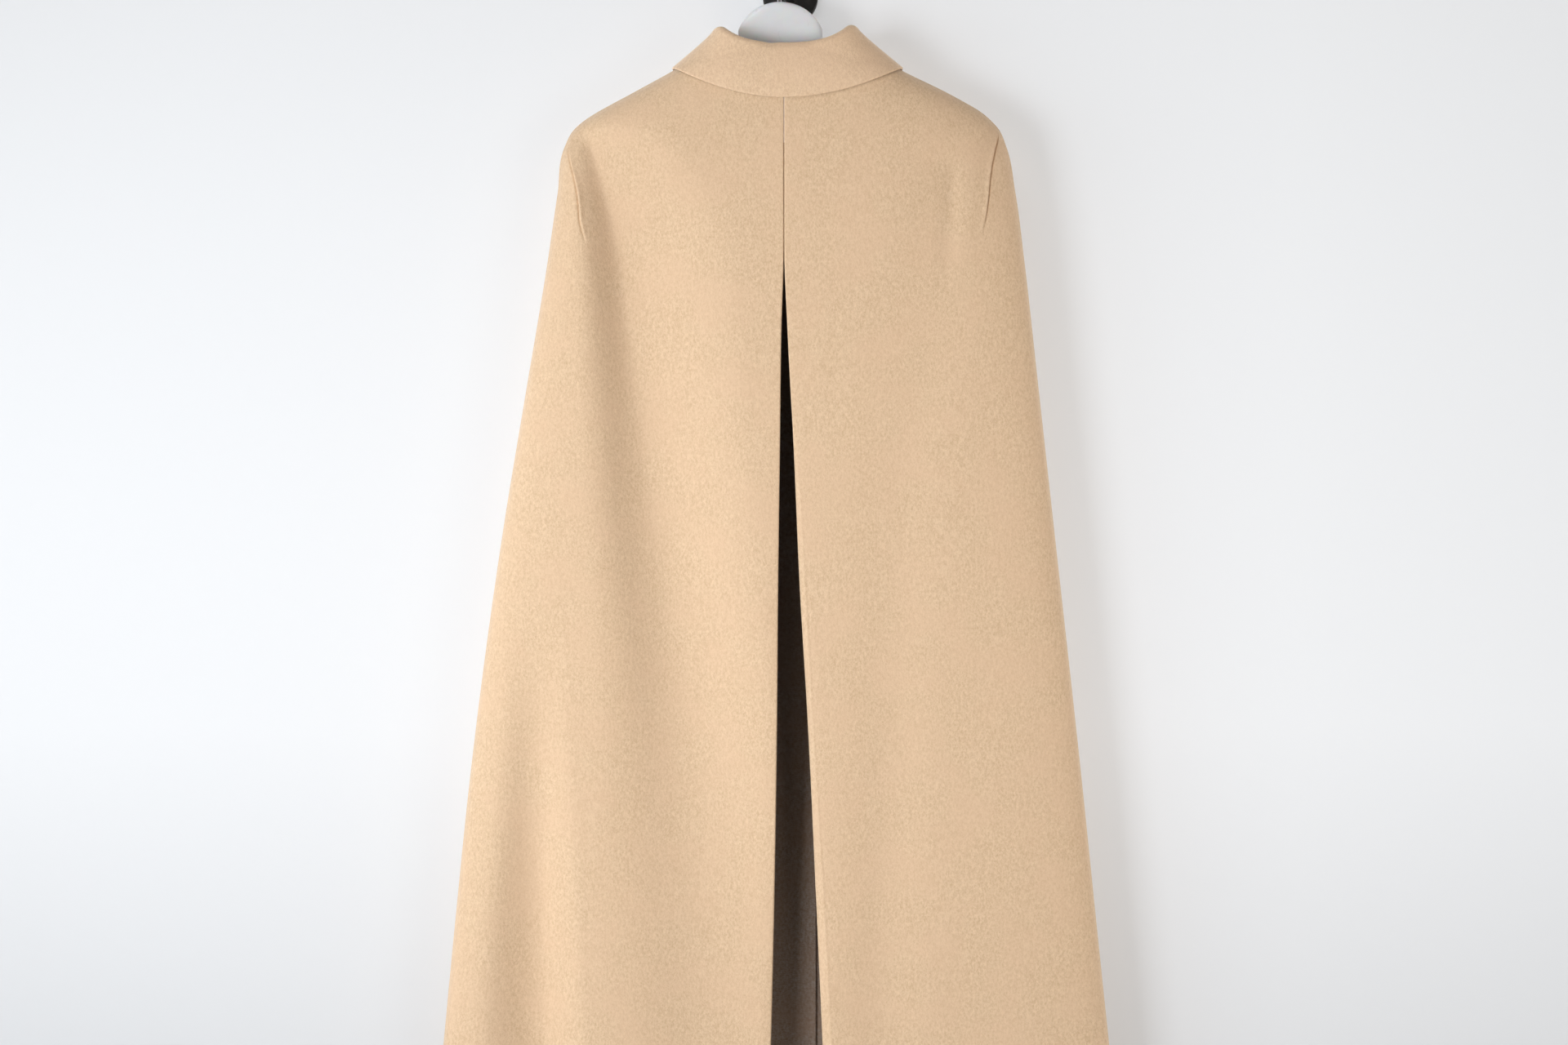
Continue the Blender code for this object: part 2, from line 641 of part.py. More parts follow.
def make_hanger_hook():
    """A bright wire that rises from the disc and bends over the peg."""
    bend = -SHANK_X
    crest_inside = PEG_RADIUS + SEAM_GAP
    centre_z = crest_inside - (bend - WIRE_RADIUS)
    path = [
        (SHANK_X, -DOME_TOP_DROP - SHANK_INSERT),
        (SHANK_X, -DOME_TOP_DROP),
        (SHANK_X, 0.5 * (centre_z - DOME_TOP_DROP)),
    ]
    for turn in np.radians(np.linspace(180.0, 0.0, 19)):
        path.append((bend * math.cos(turn), centre_z + bend * math.sin(turn)))
    for turn in np.radians((25.0, 50.0)):
        path.append(
            (bend + TIP_LENGTH * (1.0 - math.cos(turn)), centre_z - TIP_LENGTH * math.sin(turn))
        )
    path = np.array(path)
    heading = np.gradient(path, axis=0)
    heading /= np.linalg.norm(heading, axis=1, keepdims=True)
    turns = np.linspace(0.0, 2 * np.pi, 10, endpoint=False)
    rings = []
    for (x, z), (along_x, along_z) in zip(path, heading):
        sideways = WIRE_RADIUS * np.cos(turns)
        ring_x, ring_z = x + sideways * along_z, z - sideways * along_x
        ring_y = MIDDLE_Y + WIRE_RADIUS * np.sin(turns)
        rings.append(np.stack([ring_x, ring_y, ring_z], axis=1))
    return rings_object("hanger_hook", rings, "bright_wire")


def turned_about_y(name, profile, centre, finish, around=32):
    """A turned body: profile pairs of radius and place along Y, from one end to the other."""
    turns = np.linspace(0.0, 2 * np.pi, around, endpoint=False)
    rings = []
    for radius, along in profile:
        x, z = radius * np.cos(turns), radius * np.sin(turns)
        rings.append(np.stack([x, np.full_like(turns, along), z], axis=1) + np.asarray(centre))
    return rings_object(name, rings, finish)


def make_wall_hook():
    """A round plate on the wall, with a peg and a knob that keeps the wire on."""
    face, peg_end = -PLATE_THICKNESS, -PEG_LENGTH
    corner = PLATE_ROUND
    profile = [(PLATE_RADIUS, 0.0)]
    for turn in np.radians((0, 30, 60, 90)):
        reach = PLATE_RADIUS - corner + corner * math.cos(turn)
        profile.append((reach, face + corner - corner * math.sin(turn)))
    profile += [(PEG_RADIUS + PEG_FILLET, face), (PEG_RADIUS, face - PEG_FILLET)]
    profile.append((PEG_RADIUS, peg_end))
    for turn in np.radians((60, 30, 0, -30, -60)):
        along = peg_end - 0.5 * KNOB_LENGTH + 0.5 * KNOB_LENGTH * math.sin(turn)
        profile.append((KNOB_RADIUS * math.cos(turn * KNOB_FLATNESS), along))
    return turned_about_y("wall_hook", profile, (0.0, 0.0, 0.0), "black_metal")


def make_button():
    """A plain round button on the right front."""
    under = cape_point(np.pi, BUTTON_DROP)
    centre = (CAPE_X, float(under[1]) + BUTTON_AIR, -BUTTON_DROP)
    face_radius = BUTTON_RADIUS - BUTTON_EDGE
    profile = [(face_radius, BUTTON_THICKNESS), (BUTTON_RADIUS, BUTTON_THICKNESS - BUTTON_EDGE)]
    profile += [(BUTTON_RADIUS, BUTTON_EDGE), (face_radius, 0.0)]
    return turned_about_y("neck_button", profile, centre, "horn", around=24)


def main():
    """Clear the scene and make each piece."""
    for old in list(bpy.data.objects):
        bpy.data.objects.remove(old)
    for side in ("left", "right"):
        make_back(side)
        make_front(side)
    make_collar()
    make_button()
    make_hanger()
    make_hanger_hook()
    make_wall_hook()


main()
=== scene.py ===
"""Dresses the long wool cape on its hanger: napped cloth, white plastic, bright wire, black hook.

The cloth shells follow the same level sections and folds as the solids they stand for, and add the
turned edges, seams, darts and soft troughs. Shapes are worked out in millimetres, with heights as
drops below the wall hook's centre, and an angle of 0 at the cape's centre back.
"""

import logging
import math
from dataclasses import astuple, dataclass, field, replace
from enum import Enum
from typing import Callable, Optional, Sequence

import bpy
import numpy as np
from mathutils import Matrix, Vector


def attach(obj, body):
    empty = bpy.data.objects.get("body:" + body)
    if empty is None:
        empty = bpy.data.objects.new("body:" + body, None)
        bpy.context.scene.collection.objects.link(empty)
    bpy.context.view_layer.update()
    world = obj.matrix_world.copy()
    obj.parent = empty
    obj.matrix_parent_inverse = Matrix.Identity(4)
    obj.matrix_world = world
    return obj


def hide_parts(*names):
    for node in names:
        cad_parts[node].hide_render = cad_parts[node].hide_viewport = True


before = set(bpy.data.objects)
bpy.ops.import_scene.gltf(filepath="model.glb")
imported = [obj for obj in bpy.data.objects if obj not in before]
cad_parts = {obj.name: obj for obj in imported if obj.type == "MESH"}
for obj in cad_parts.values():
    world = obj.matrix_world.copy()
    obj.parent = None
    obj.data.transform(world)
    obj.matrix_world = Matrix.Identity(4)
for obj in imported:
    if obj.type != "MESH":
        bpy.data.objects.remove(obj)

Array = np.ndarray
Triple = tuple[float, float, float]
Face = tuple[int, ...]
Line = Callable[[Array], Array]
Material = bpy.types.Material
Piece = bpy.types.Object
Socket = bpy.types.NodeSocket

LOG = logging.getLogger("wool_cape")
MM = 0.001
BODY = "root"
FAR = 1000.0  # stands for a distance that is too large to matter
THINNEST = 0.16  # share of its thickness that cloth keeps at its very edge


class Side(Enum):
    """A half of the cape, as seen from behind."""

    LEFT = "left"
    RIGHT = "right"

    @property
    def sign(self) -> float:
        """-1 on the left and 1 on the right."""
        return -1.0 if self is Side.LEFT else 1.0

    @property
    def other(self) -> "Side":
        """The opposite half."""
        return Side.RIGHT if self is Side.LEFT else Side.LEFT


class Slot(Enum):
    """The record's material slots."""

    WOOL = "camel_wool"
    PLASTIC = "white_plastic"
    WIRE = "bright_wire"
    HOOK = "black_metal"
    HORN = "horn"


def smooth(at: Array, stations: Array, values: Array) -> Array:
    """Read values on a smooth curve through known ones.

    Args:
        at: where to read.
        stations: rising places of the known values.
        values: the known values.

    Returns:
        The values at each place, held at the two ends.
    """
    at = np.asarray(at, dtype=float)
    slopes = np.gradient(values, stations)
    low = np.clip(np.searchsorted(stations, at, side="right") - 1, 0, len(stations) - 2)
    span = stations[low + 1] - stations[low]
    t = np.clip((at - stations[low]) / span, 0.0, 1.0)
    rise = (2 * t**3 - 3 * t**2 + 1) * values[low] + (3 * t**2 - 2 * t**3) * values[low + 1]
    return rise + span * ((t**3 - 2 * t**2 + t) * slopes[low] + (t**3 - t**2) * slopes[low + 1])


def soft_step(t: Array) -> Array:
    """0 to 1 with no corner at either end."""
    t = np.clip(t, 0.0, 1.0)
    return t * t * (3 - 2 * t)


def bell(distance: Array, width: Array | float) -> Array:
    """1 at no distance, falling softly to nothing past the width."""
    return np.exp(-((distance / width) ** 2))


def unit(vectors: Array) -> Array:
    """The vectors at length 1."""
    return vectors / np.linalg.norm(vectors, axis=-1, keepdims=True)


@dataclass(frozen=True)
class Crease:
    """A raised or sunk line beside a seam: its place, height, and widths before and past it."""

    place: float
    height: float
    before: float
    past: float

    def relief(self, off_seam: Array) -> Array:
        """Its height at distances off the seam."""
        off = off_seam - self.place
        return self.height * bell(off, np.where(off < 0, self.before, self.past))


@dataclass(frozen=True)
class Table:
    """Sizes at a few drops, read between them on smooth curves."""

    columns: str
    rows: tuple[tuple[float, ...], ...]

    def read(self, name: str, drop: Array) -> Array:
        """The named column at each drop."""
        rows = np.asarray(self.rows, dtype=float)
        return smooth(drop, rows[:, 0], rows[:, self.columns.split().index(name)])

    @property
    def top(self) -> float:
        """The first drop in the table."""
        return float(self.rows[0][0])

    @property
    def end(self) -> float:
        """The last drop in the table."""
        return float(self.rows[-1][0])


def fold(*rows: tuple[float, ...]) -> Table:
    """A fold. A bow under 1, which is left out at 1, makes its left steep near the bottom."""
    columns = "drop across depth rise_left rise_right bow"
    return Table(columns, tuple((*row, 1.0)[:6] for row in rows))


SECTIONS = Table(
    "drop left right back front square",
    (
        *((50, 52, 54, 39.0, 35.0, 2.6), (62, 73, 77, 40.1, 36.0, 2.6)),
        *((83, 109, 116, 41.9, 37.4, 2.62), (107, 153, 165, 43.6, 38.7, 2.7)),
        *((123, 182, 192, 44.5, 39.4, 2.82), (131, 194, 201, 44.9, 39.6, 2.9)),
        *((139, 203, 208, 45.2, 39.8, 3.0), (155, 212, 215, 45.6, 40.0, 3.22)),
        *((202, 219, 224, 46.1, 40.0, 3.8), (266, 228, 232, 46.1, 39.4, 4.25)),
        *((393, 249, 246, 45.3, 38.2, 4.6), (520, 270, 260, 44.1, 37, 4.8)),
        *((774, 304, 288, 42, 35, 5.0), (900, 317, 301, 41, 34, 5.0)),
        (1165, 342, 329, 40, 33, 5.0),
    ),
)
VENT_EDGES = Table(
    "drop left right",
    (
        *((240, -0.2, 0.2), (263, -0.3, 0.3), (332, -2.3, 3.1), (457, -3.9, 9.4)),
        *((582, -5.5, 14.8), (707, -6.6, 22.2), (895, -9.6, 31.0), (1165, -16.0, 43.0)),
    ),
)
VENT_ROLL = Table(
    "drop left right", ((263, 0, 0), (450, 0.6, 1.2), (800, 1.4, 3.0), (1165, 2.0, 4.5))
)
# The right vent edge is turned towards the room as far as a pressed crease.
VENT_STRIP = Table(
    "drop width depth",
    ((400, 0.0, 0.0), (455, 3.0, 0.8), (730, 5.6, 1.5), (880, 7.6, 2.0), (1165, 10.5, 2.6)),
)
BACK_FOLDS = (
    fold(
        *((122, -196, 0.0, 14, 60, 0.8), (150, -188, 7.0, 20, 80, 0.8)),
        *((170, -181, 11.0, 25, 96, 0.8), (192, -175, 14.5, 29, 108, 0.8)),
        *((215, -168, 17.5, 34, 116, 0.8), (254, -160, 21.0, 41, 118, 0.8)),
        *((330, -149, 22.0, 50, 114, 0.85), (410, -137, 22.0, 60, 108, 0.9)),
        *((520, -120, 21.5, 73, 100), (645, -102, 20.0, 84, 96), (801, -84, 17.5, 106, 108)),
        *((957, -68, 16.0, 117, 150), (1165, -58, 15.0, 128, 180)),
    ),
    fold(
        *((600, -238, 0.0, 30, 34), (723, -238, 5.5, 36, 36), (801, -237, 11.0, 44, 38)),
        *((957, -235, 19.5, 60, 44), (1165, -232, 21.0, 70, 50)),
    ),
    fold(
        *((140, 170, 0.0, 54, 24), (165, 164, 2.5, 58, 28), (215, 160, 3.2, 60, 32)),
        *((277, 148, 3.2, 62, 44), (371, 129, 3.2, 62, 50), (457, 113, 3.2, 62, 54)),
        *((645, 101, 3.6, 56, 56), (801, 96, 4.2, 50, 56), (1165, 88, 4.5, 42, 58)),
    ),
)
FRONT_FOLDS = (
    fold(
        *((140, -170, 0.0, 24, 50), (215, -160, 8.5, 32, 66), (410, -138, 12.5, 56, 66)),
        *((801, -122, 13.5, 74, 62), (1165, -124, 14.0, 80, 60)),
    ),
    fold((520, -214, 0.0, 30, 34), (801, -226, 7.0, 44, 44), (1165, -240, 13.0, 54, 56)),
    fold(
        *((140, 170, 0.0, 50, 24), (215, 160, 7.5, 62, 32), (410, 142, 11.0, 64, 54)),
        *((801, 134, 12.5, 60, 68), (1165, 140, 13.5, 60, 74)),
    ),
    fold((640, 216, 0.0, 32, 30), (900, 232, 6.5, 42, 40), (1165, 246, 11.0, 50, 50)),
)
# Shallow troughs (above 0) and ridges (below 0) too small for the solids.
BACK_SOFT = (
    fold(
        *((150, 176, 0.0, 10, 10), (170, 178, -0.9, 16, 14)),
        *((230, 176, -1.1, 18, 14), (300, 170, 0.0, 18, 14)),
    ),
    fold(
        *((150, 156, 0.0, 14, 12), (175, 158, 0.8, 16, 12)),
        *((240, 156, 0.9, 18, 14), (310, 150, 0.0, 18, 14)),
    ),
)
FRONT_SOFT = (
    fold(
        *((150, -178, 0.0, 12, 12), (190, -178, -1.0, 14, 18)),
        *((260, -172, -0.8, 14, 18), (330, -168, 0.0, 14, 18)),
    ),
    fold((500, 60, 0.0, 30, 34), (760, 56, 1.2, 34, 38), (1165, 50, 2.2, 38, 44)),
)
DARTS = {
    Side.LEFT: Table(
        "drop across height",
        (
            *((142, -205.5, 0.0), (150, -207.5, 0.7), (160, -208.0, 1.0), (175, -205.5, 1.0)),
            *((190, -201.5, 1.0), (206, -198.3, 1.0), (217, -197.2, 1.0), (230, -196.0, 0.9)),
            *((240, -193.6, 0.6), (251, -189.6, 0.0)),
        ),
    ),
    Side.RIGHT: Table(
        "drop across height",
        (
            *((136, 208.5, 0.0), (144, 207.8, 0.7), (158, 204.0, 1.0), (171, 201.0, 1.0)),
            *((194, 197.6, 1.0), (211, 196.0, 1.0), (224, 194.2, 0.8), (240, 191.0, 0.0)),
        ),
    ),
}


FELLED_SEAM = (Crease(5.6, 0.8, 1.1, 1.1), Crease(4.0, -0.9, 0.8, 0.8))
DART_SEAM = (Crease(-1.3, 1.5, 2.2, 1.1), Crease(0.5, -1.6, 0.6, 0.6))
STRIP_CREASE = Crease(0.0, 0.6, 1.1, 1.1)


@dataclass
class Drape:
    """The form the cloth hangs in: level sections, less the folds on each face."""

    centre_x: float = -6.4
    middle_y: float = -58.0
    hem_drop: float = 1165.0
    neck_side_drop: float = 62.0
    neck_back_deeper: float = 33.0
    neck_front_deeper: float = 84.0
    neck_back_curve: float = 4.5
    neck_front_curve: float = 7.0
    past_centre_lower: float = 5.0
    past_centre_angle: float = math.radians(3.0)
    seam_behind: float = 9.0
    vent_roll_width: float = 14.0
    crease_top: float = 420.0
    crease_fade: float = 150.0
    fold_fade: float = 40.0
    widest_ridge_drop: float = 155.0

    def half_width(self, across: Array, drop: Array) -> Array:
        """Half width of the section on the side that a point is on."""
        return np.where(across >= 0, SECTIONS.read("right", drop), SECTIONS.read("left", drop))

    def half_depth(self, behind: Array, drop: Array) -> Array:
        """Half depth of the section on the face that a point is on."""
        return np.where(behind, SECTIONS.read("back", drop), SECTIONS.read("front", drop))

    def hollow(self, folds: Sequence[Table], across: Array, drop: Array) -> Array:
        """Depth of the folds on one face, each of them in its own half.

        Args:
            folds: the face's folds.
            across: distances from the centre.
            drop: drops.

        Returns:
            How far the cloth lies inside its section; below 0 it stands out.
        """
        total = np.zeros(np.broadcast(across, drop).shape)
        for each in folds:
            from_bottom = across - each.read("across", drop)
            left = from_bottom < 0
            own_half = np.sign(across) == np.sign(each.rows[0][1])
            fade_in = soft_step((drop - each.top) / self.fold_fade)
            depth = each.read("depth", drop) * (fade_in * own_half)
            rise = np.where(left, each.read("rise_left", drop), each.read("rise_right", drop))
            reach = np.minimum(np.abs(from_bottom / rise), 1.0)
            reach = reach ** np.where(left, each.read("bow", drop), 1.0)
            total = total + depth * (0.5 + 0.5 * np.cos(np.pi * reach))
        return total

    def vent_turn(self, across: Array, drop: Array) -> Array:
        """How far the cloth turns inwards beside the vent.

        Args:
            across: distances from the centre.
            drop: drops.

        Returns:
            The depths.
        """
        total = np.zeros(np.broadcast(across, drop).shape)
        for side in Side:
            off_edge = (across - VENT_EDGES.read(side.value, drop)) * side.sign
            inside = np.clip(off_edge / self.vent_roll_width, 0.0, 1.0)
            turn = VENT_ROLL.read(side.value, drop) * (1.0 - inside) ** 2
            if side is Side.RIGHT:
                width = np.maximum(VENT_STRIP.read("width", drop), 0.01)
                inside = np.clip(1.0 - off_edge / width, 0.0, 1.0)
                turn = turn + VENT_STRIP.read("depth", drop) * inside
            total = total + np.where(across * side.sign > 0, turn, 0.0)
        return total

    def strip_crease(self, across: Array, drop: Array) -> Array:
        """Height of the crease along the strip stitched down beside the vent.

        Args:
            across: distances from the centre.
            drop: drops.

        Returns:
            The heights.
        """
        width = np.maximum(VENT_STRIP.read("width", drop), 0.01)
        off_edge = across - VENT_EDGES.read(Side.RIGHT.value, drop)
        fade_in = soft_step((drop - self.crease_top) / self.crease_fade)
        return STRIP_CREASE.relief(off_edge - width) * fade_in

    def point(self, angle: Array, drop: Array) -> Array:
        """Points of the outer face.

        Args:
            angle: angles round the cape, 0 at the centre back.
            drop: drops below the origin.

        Returns:
            Points in millimetres.
        """
        angle, drop = np.broadcast_arrays(np.asarray(angle, float), np.asarray(drop, float))
        across, back = np.sin(angle), np.cos(angle)
        power = SECTIONS.read("square", drop)
        reach = (np.abs(across) ** power + np.abs(back) ** power) ** (1.0 / power)
        x = self.half_width(across, drop) * across / reach
        behind = self.hollow(BACK_FOLDS + BACK_SOFT, x, drop) + self.vent_turn(x, drop)
        before = self.hollow(FRONT_FOLDS + FRONT_SOFT, x, drop)
        inwards = np.where(back >= 0, behind, before) * soft_step(np.abs(back) * 6.0)
        y = -self.half_depth(back >= 0, drop) * back / reach + np.sign(back) * inwards
        return np.stack([self.centre_x + x, self.middle_y + y, -drop], axis=-1)

    def outwards(self, angle: Array, drop: Array) -> Array:
        """Unit directions straight out of the outer face.

        Args:
            angle: angles round the cape.
            drop: drops.

        Returns:
            The directions.
        """
        turn, step = 0.004, 1.0
        round_it = self.point(angle + turn, drop) - self.point(angle - turn, drop)
        down_it = self.point(angle, drop + step) - self.point(angle, drop - step)
        return unit(np.cross(down_it, round_it))

    def arc(self, angle: Array, drop: Array) -> Array:
        """How far apart angles are on the cloth.

        Args:
            angle: angles round the cape.
            drop: drops.

        Returns:
            Millimetres for each radian.
        """
        turn = 0.01
        span = self.point(angle + turn, drop) - self.point(angle - turn, drop)
        return np.linalg.norm(span, axis=-1) / (2 * turn)

    def angle_at(self, across: Array, drop: Array, front: Array | bool = False) -> Array:
        """The angle of a point at a distance from the centre.

        Args:
            across: distances from the centre.
            drop: drops.
            front: true for the face towards the wall.

        Returns:
            The angles.
        """
        power = SECTIONS.read("square", drop)
        share = np.clip(np.abs(across) / self.half_width(across, drop), 0.0, 1.0)
        angle = np.arctan2(share, (1.0 - share**power) ** (1.0 / power))
        return np.sign(across) * np.where(front, np.pi - angle, angle)

    def neck_drop(self, angle: Array) -> Array:
        """Drop of the neck seam.

        Args:
            angle: angles round the cape.

        Returns:
            The drop at each angle.
        """
        back = np.cos(angle)
        behind = self.neck_back_deeper * np.clip(back, 0.0, 1.0) ** self.neck_back_curve
        before = self.neck_front_deeper * np.clip(-back, 0.0, 1.0) ** self.neck_front_curve
        past = soft_step((np.abs(angle) - np.pi) / self.past_centre_angle)
        return self.neck_side_drop + behind + before + self.past_centre_lower * past

    def side_seam(self, drop: Array) -> Array:
        """Angle of the seam along the shoulder and down the side."""
        return np.pi / 2 - np.arcsin(self.seam_behind / SECTIONS.read("back", drop))

    def ridge_drop(self, across: float) -> float:
        """Drop of the shoulder ridge at a distance from the centre."""
        drops = np.linspace(SECTIONS.top, self.widest_ridge_drop, 200)
        return float(np.interp(abs(across), self.half_width(np.array(across), drops), drops))

    def clearance(self, points: Array) -> tuple[Array, Array]:
        """How far points lie outside the sections, folds left out.

        Args:
            points: points in millimetres.

        Returns:
            Heights above the sections, and unit directions out of them.
        """

        def ratio(places: Array) -> Array:
            """1 on the section, and more outside it."""
            across, along = places[..., 0] - self.centre_x, places[..., 1] - self.middle_y
            drop = -places[..., 2]
            power = SECTIONS.read("square", drop)
            total = np.abs(across / self.half_width(across, drop)) ** power
            total = total + np.abs(along / self.half_depth(along <= 0, drop)) ** power
            return total ** (1.0 / power)

        step = 0.5
        moves = np.eye(3) * step
        slope = np.stack([ratio(points + move) - ratio(points - move) for move in moves], axis=-1)
        slope = slope / (2 * step)
        steepness = np.linalg.norm(slope, axis=-1)
        return (ratio(points) - 1.0) / steepness, slope / steepness[..., None]


class Paint:
    """One Principled material under construction."""

    def __init__(self, name: str) -> None:
        """Start an empty material of that name."""
        self.material = bpy.data.materials.new(name)
        self.material.use_nodes = True
        self.tree = self.material.node_tree
        self.shader = self.tree.nodes["Principled BSDF"]
        self.place = self.node("TexCoord").outputs["Object"]  # in metres

    def feed(self, socket: Socket, value: object) -> None:
        """Link a socket to another one, or give it a plain value.

        Args:
            socket: the socket to feed.
            value: another socket, a colour or a number.
        """
        if isinstance(value, Socket):
            self.tree.links.new(value, socket)
        else:
            socket.default_value = (*value, 1.0) if socket.type == "RGBA" else value

    def node(
        self, kind: str, inputs: Optional[dict[str | int, object]] = None, **values: object
    ) -> bpy.types.Node:
        """Add a node.

        Args:
            kind: the node's type, without its ShaderNode prefix.
            inputs: what its sockets are fed.
            **values: its properties.

        Returns:
            The new node.
        """
        made = self.tree.nodes.new("ShaderNode" + kind)
        for name, value in values.items():
            setattr(made, name, value)
        for key, value in (inputs or {}).items():
            self.feed(made.inputs[key], value)
        return made

    def set(self, **inputs: object) -> None:
        """Feed the shader's own sockets, named with underscores for spaces."""
        for name, value in inputs.items():
            self.feed(self.shader.inputs[name.replace("_", " ")], value)

    def noise(
        self,
        scale: float,
        detail: float = 2.0,
        roughness: float = 0.55,
        stretch: Triple = (1.0, 1.0, 1.0),
        distortion: float = 0.0,
    ) -> Socket:
        """Add cloudy noise.

        Args:
            scale: lumps to the metre, about.
            detail: how many finer layers.
            roughness: the strength of each finer layer.
            stretch: scale along each axis.
            distortion: how twisted the lumps are.

        Returns:
            A value round 0.5.
        """
        place = self.node("Mapping", {"Vector": self.place, "Scale": stretch}).outputs["Vector"]
        inputs = {"Vector": place, "Scale": scale, "Detail": detail, "Roughness": roughness}
        return self.node("TexNoise", {**inputs, "Distortion": distortion}).outputs["Fac"]

    def spread(
        self, value: Socket, low: float, high: float, to: tuple[float, float] = (0.0, 1.0)
    ) -> Socket:
        """The value with the range from low to high stretched to another, and clamped."""
        ends = {"From Min": low, "From Max": high, "To Min": to[0], "To Max": to[1]}
        return self.node("MapRange", {"Value": value, **ends}, clamp=True).outputs["Result"]

    def blend(self, share: object, first: object, second: object) -> Socket:
        """The first colour with a share of the second."""
        return self.node("Mix", {0: share, 6: first, 7: second}, data_type="RGBA").outputs[2]

    def sum(self, first: Socket, second: Socket, weight: float = 1.0) -> Socket:
        """The first value plus the second times a weight."""
        inputs = {0: second, 1: weight, 2: first}
        return self.node("Math", inputs, operation="MULTIPLY_ADD").outputs[0]

    def bump(self, height: Socket, strength: float, depth: float) -> None:
        """Roughen the surface by a height, its depth in metres."""
        inputs = {"Height": height, "Strength": strength, "Distance": depth}
        self.set(Normal=self.node("Bump", inputs).outputs["Normal"])


@dataclass(frozen=True)
class Wool:
    """A felted face of the cloth: mottled colour, short nap and a soft sheen."""

    name: str
    light: Triple
    dark: Triple
    warm: Triple
    fibre_stretch: Triple
    sheen: float
    sheen_tint: Triple
    mottle_scale: float = 430.0
    patch_scale: float = 22.0
    fibre_scale: float = 1350.0

    def make(self) -> Material:
        """Make the material."""
        paint = Paint(self.name)
        mottle = paint.noise(self.mottle_scale, 3.0, 0.62, (1.0, 1.0, 0.65))
        fibre = paint.noise(self.fibre_scale, 2.0, 0.6, self.fibre_stretch, 0.4)
        patch = paint.noise(self.patch_scale, 2.0, 0.5)
        grain = paint.sum(mottle, fibre, 0.8)
        colour = paint.blend(paint.spread(grain, 0.66, 1.14), self.dark, self.light)
        colour = paint.blend(paint.spread(patch, 0.42, 0.66, (0.0, 0.45)), colour, self.warm)
        paint.bump(grain, 0.5, 0.0007)
        paint.set(
            Base_Color=colour,
            Roughness=paint.spread(mottle, 0.3, 0.7, (0.82, 0.96)),
            Specular_IOR_Level=0.18,
            Sheen_Weight=self.sheen,
            Sheen_Roughness=0.4,
            Sheen_Tint=self.sheen_tint,
        )
        return paint.material


CAMEL = Wool(
    "camel_wool_face",
    light=(0.815, 0.615, 0.425),
    dark=(0.64, 0.445, 0.28),
    warm=(0.77, 0.545, 0.37),
    fibre_stretch=(1.0, 1.0, 0.45),
    sheen=0.5,
    sheen_tint=(1.0, 0.93, 0.82),
)
# A lighter copy of the camel for the collar: painted light, for the extra light that its
# upward-facing fall catches.
LIT_COLLAR_CAMEL = replace(
    CAMEL,
    name="collar_wool_painted_light",
    light=(0.865, 0.655, 0.46),
    dark=(0.69, 0.48, 0.31),
    warm=(0.815, 0.58, 0.40),
)
GREY = Wool(
    "grey_wool_face",
    light=(0.36, 0.295, 0.25),
    dark=(0.225, 0.148, 0.102),
    warm=(0.30, 0.195, 0.135),
    fibre_stretch=(0.25, 0.25, 1.2),
    sheen=0.25,
    sheen_tint=(0.9, 0.88, 0.86),
)


@dataclass(frozen=True)
class Finish:
    """A smooth finish: two tones in clouds, with marks in its gloss and relief.

    Clouds and marks are what Paint.noise takes. Without marks of their own, gloss and relief
    follow the clouds.
    """

    name: str
    tones: tuple[Triple, Triple]
    clouds: tuple
    tone_range: tuple[float, float]
    gloss: tuple[float, float]
    relief: tuple[float, float]
    sockets: dict[str, float]
    marks: Optional[tuple] = None
    most: float = 1.0
    gloss_high: float = 0.7
    clouded_gloss: bool = False
    clouded_relief: bool = False

    def make(self) -> Material:
        """Make the material."""
        paint = Paint(self.name)
        clouds = paint.noise(*self.clouds)
        marks = paint.noise(*self.marks) if self.marks else clouds
        share = paint.spread(clouds, *self.tone_range, (0.0, self.most))
        shine = clouds if self.clouded_gloss else marks
        paint.bump(paint.sum(clouds, marks, 0.2) if self.clouded_relief else marks, *self.relief)
        paint.set(
            Base_Color=paint.blend(share, *self.tones),
            Roughness=paint.spread(shine, 0.3, self.gloss_high, self.gloss),
            **self.sockets,
        )
        return paint.material


WHITE_PLASTIC = Finish(
    "hanger_white_plastic",
    tones=((0.82, 0.85, 0.89), (0.76, 0.79, 0.83)),
    clouds=(18.0, 3.0, 0.5, (1.0, 1.0, 2.2), 0.6),
    marks=(260.0, 4.0, 0.65, (1.0, 1.0, 0.15)),
    tone_range=(0.35, 0.7),
    gloss=(0.26, 0.42),
    gloss_high=0.75,
    relief=(0.12, 0.0006),
    clouded_relief=True,
    sockets={"Subsurface_Weight": 0.25, "Subsurface_Scale": 0.006, "Coat_Weight": 0.15},
)
PLATED_WIRE = Finish(
    "hanger_bright_wire",
    tones=((0.78, 0.78, 0.80), (0.6, 0.6, 0.63)),
    clouds=(60.0, 2.0),
    marks=(1400.0, 3.0, 0.6, (1.0, 1.0, 0.12)),
    tone_range=(0.35, 0.7),
    most=0.35,
    gloss=(0.1, 0.24),
    gloss_high=0.75,
    relief=(0.08, 0.0002),
    sockets={"Metallic": 1.0},
)
BLACK_ENAMEL = Finish(
    "hook_black_enamel",
    tones=((0.006, 0.006, 0.006), (0.018, 0.017, 0.016)),
    clouds=(70.0, 4.0, 0.6),
    marks=(700.0, 2.0, 0.5),
    tone_range=(0.5, 0.72),
    gloss=(0.36, 0.5),
    clouded_gloss=True,
    relief=(0.15, 0.0003),
    sockets={"Specular_IOR_Level": 0.4},
)
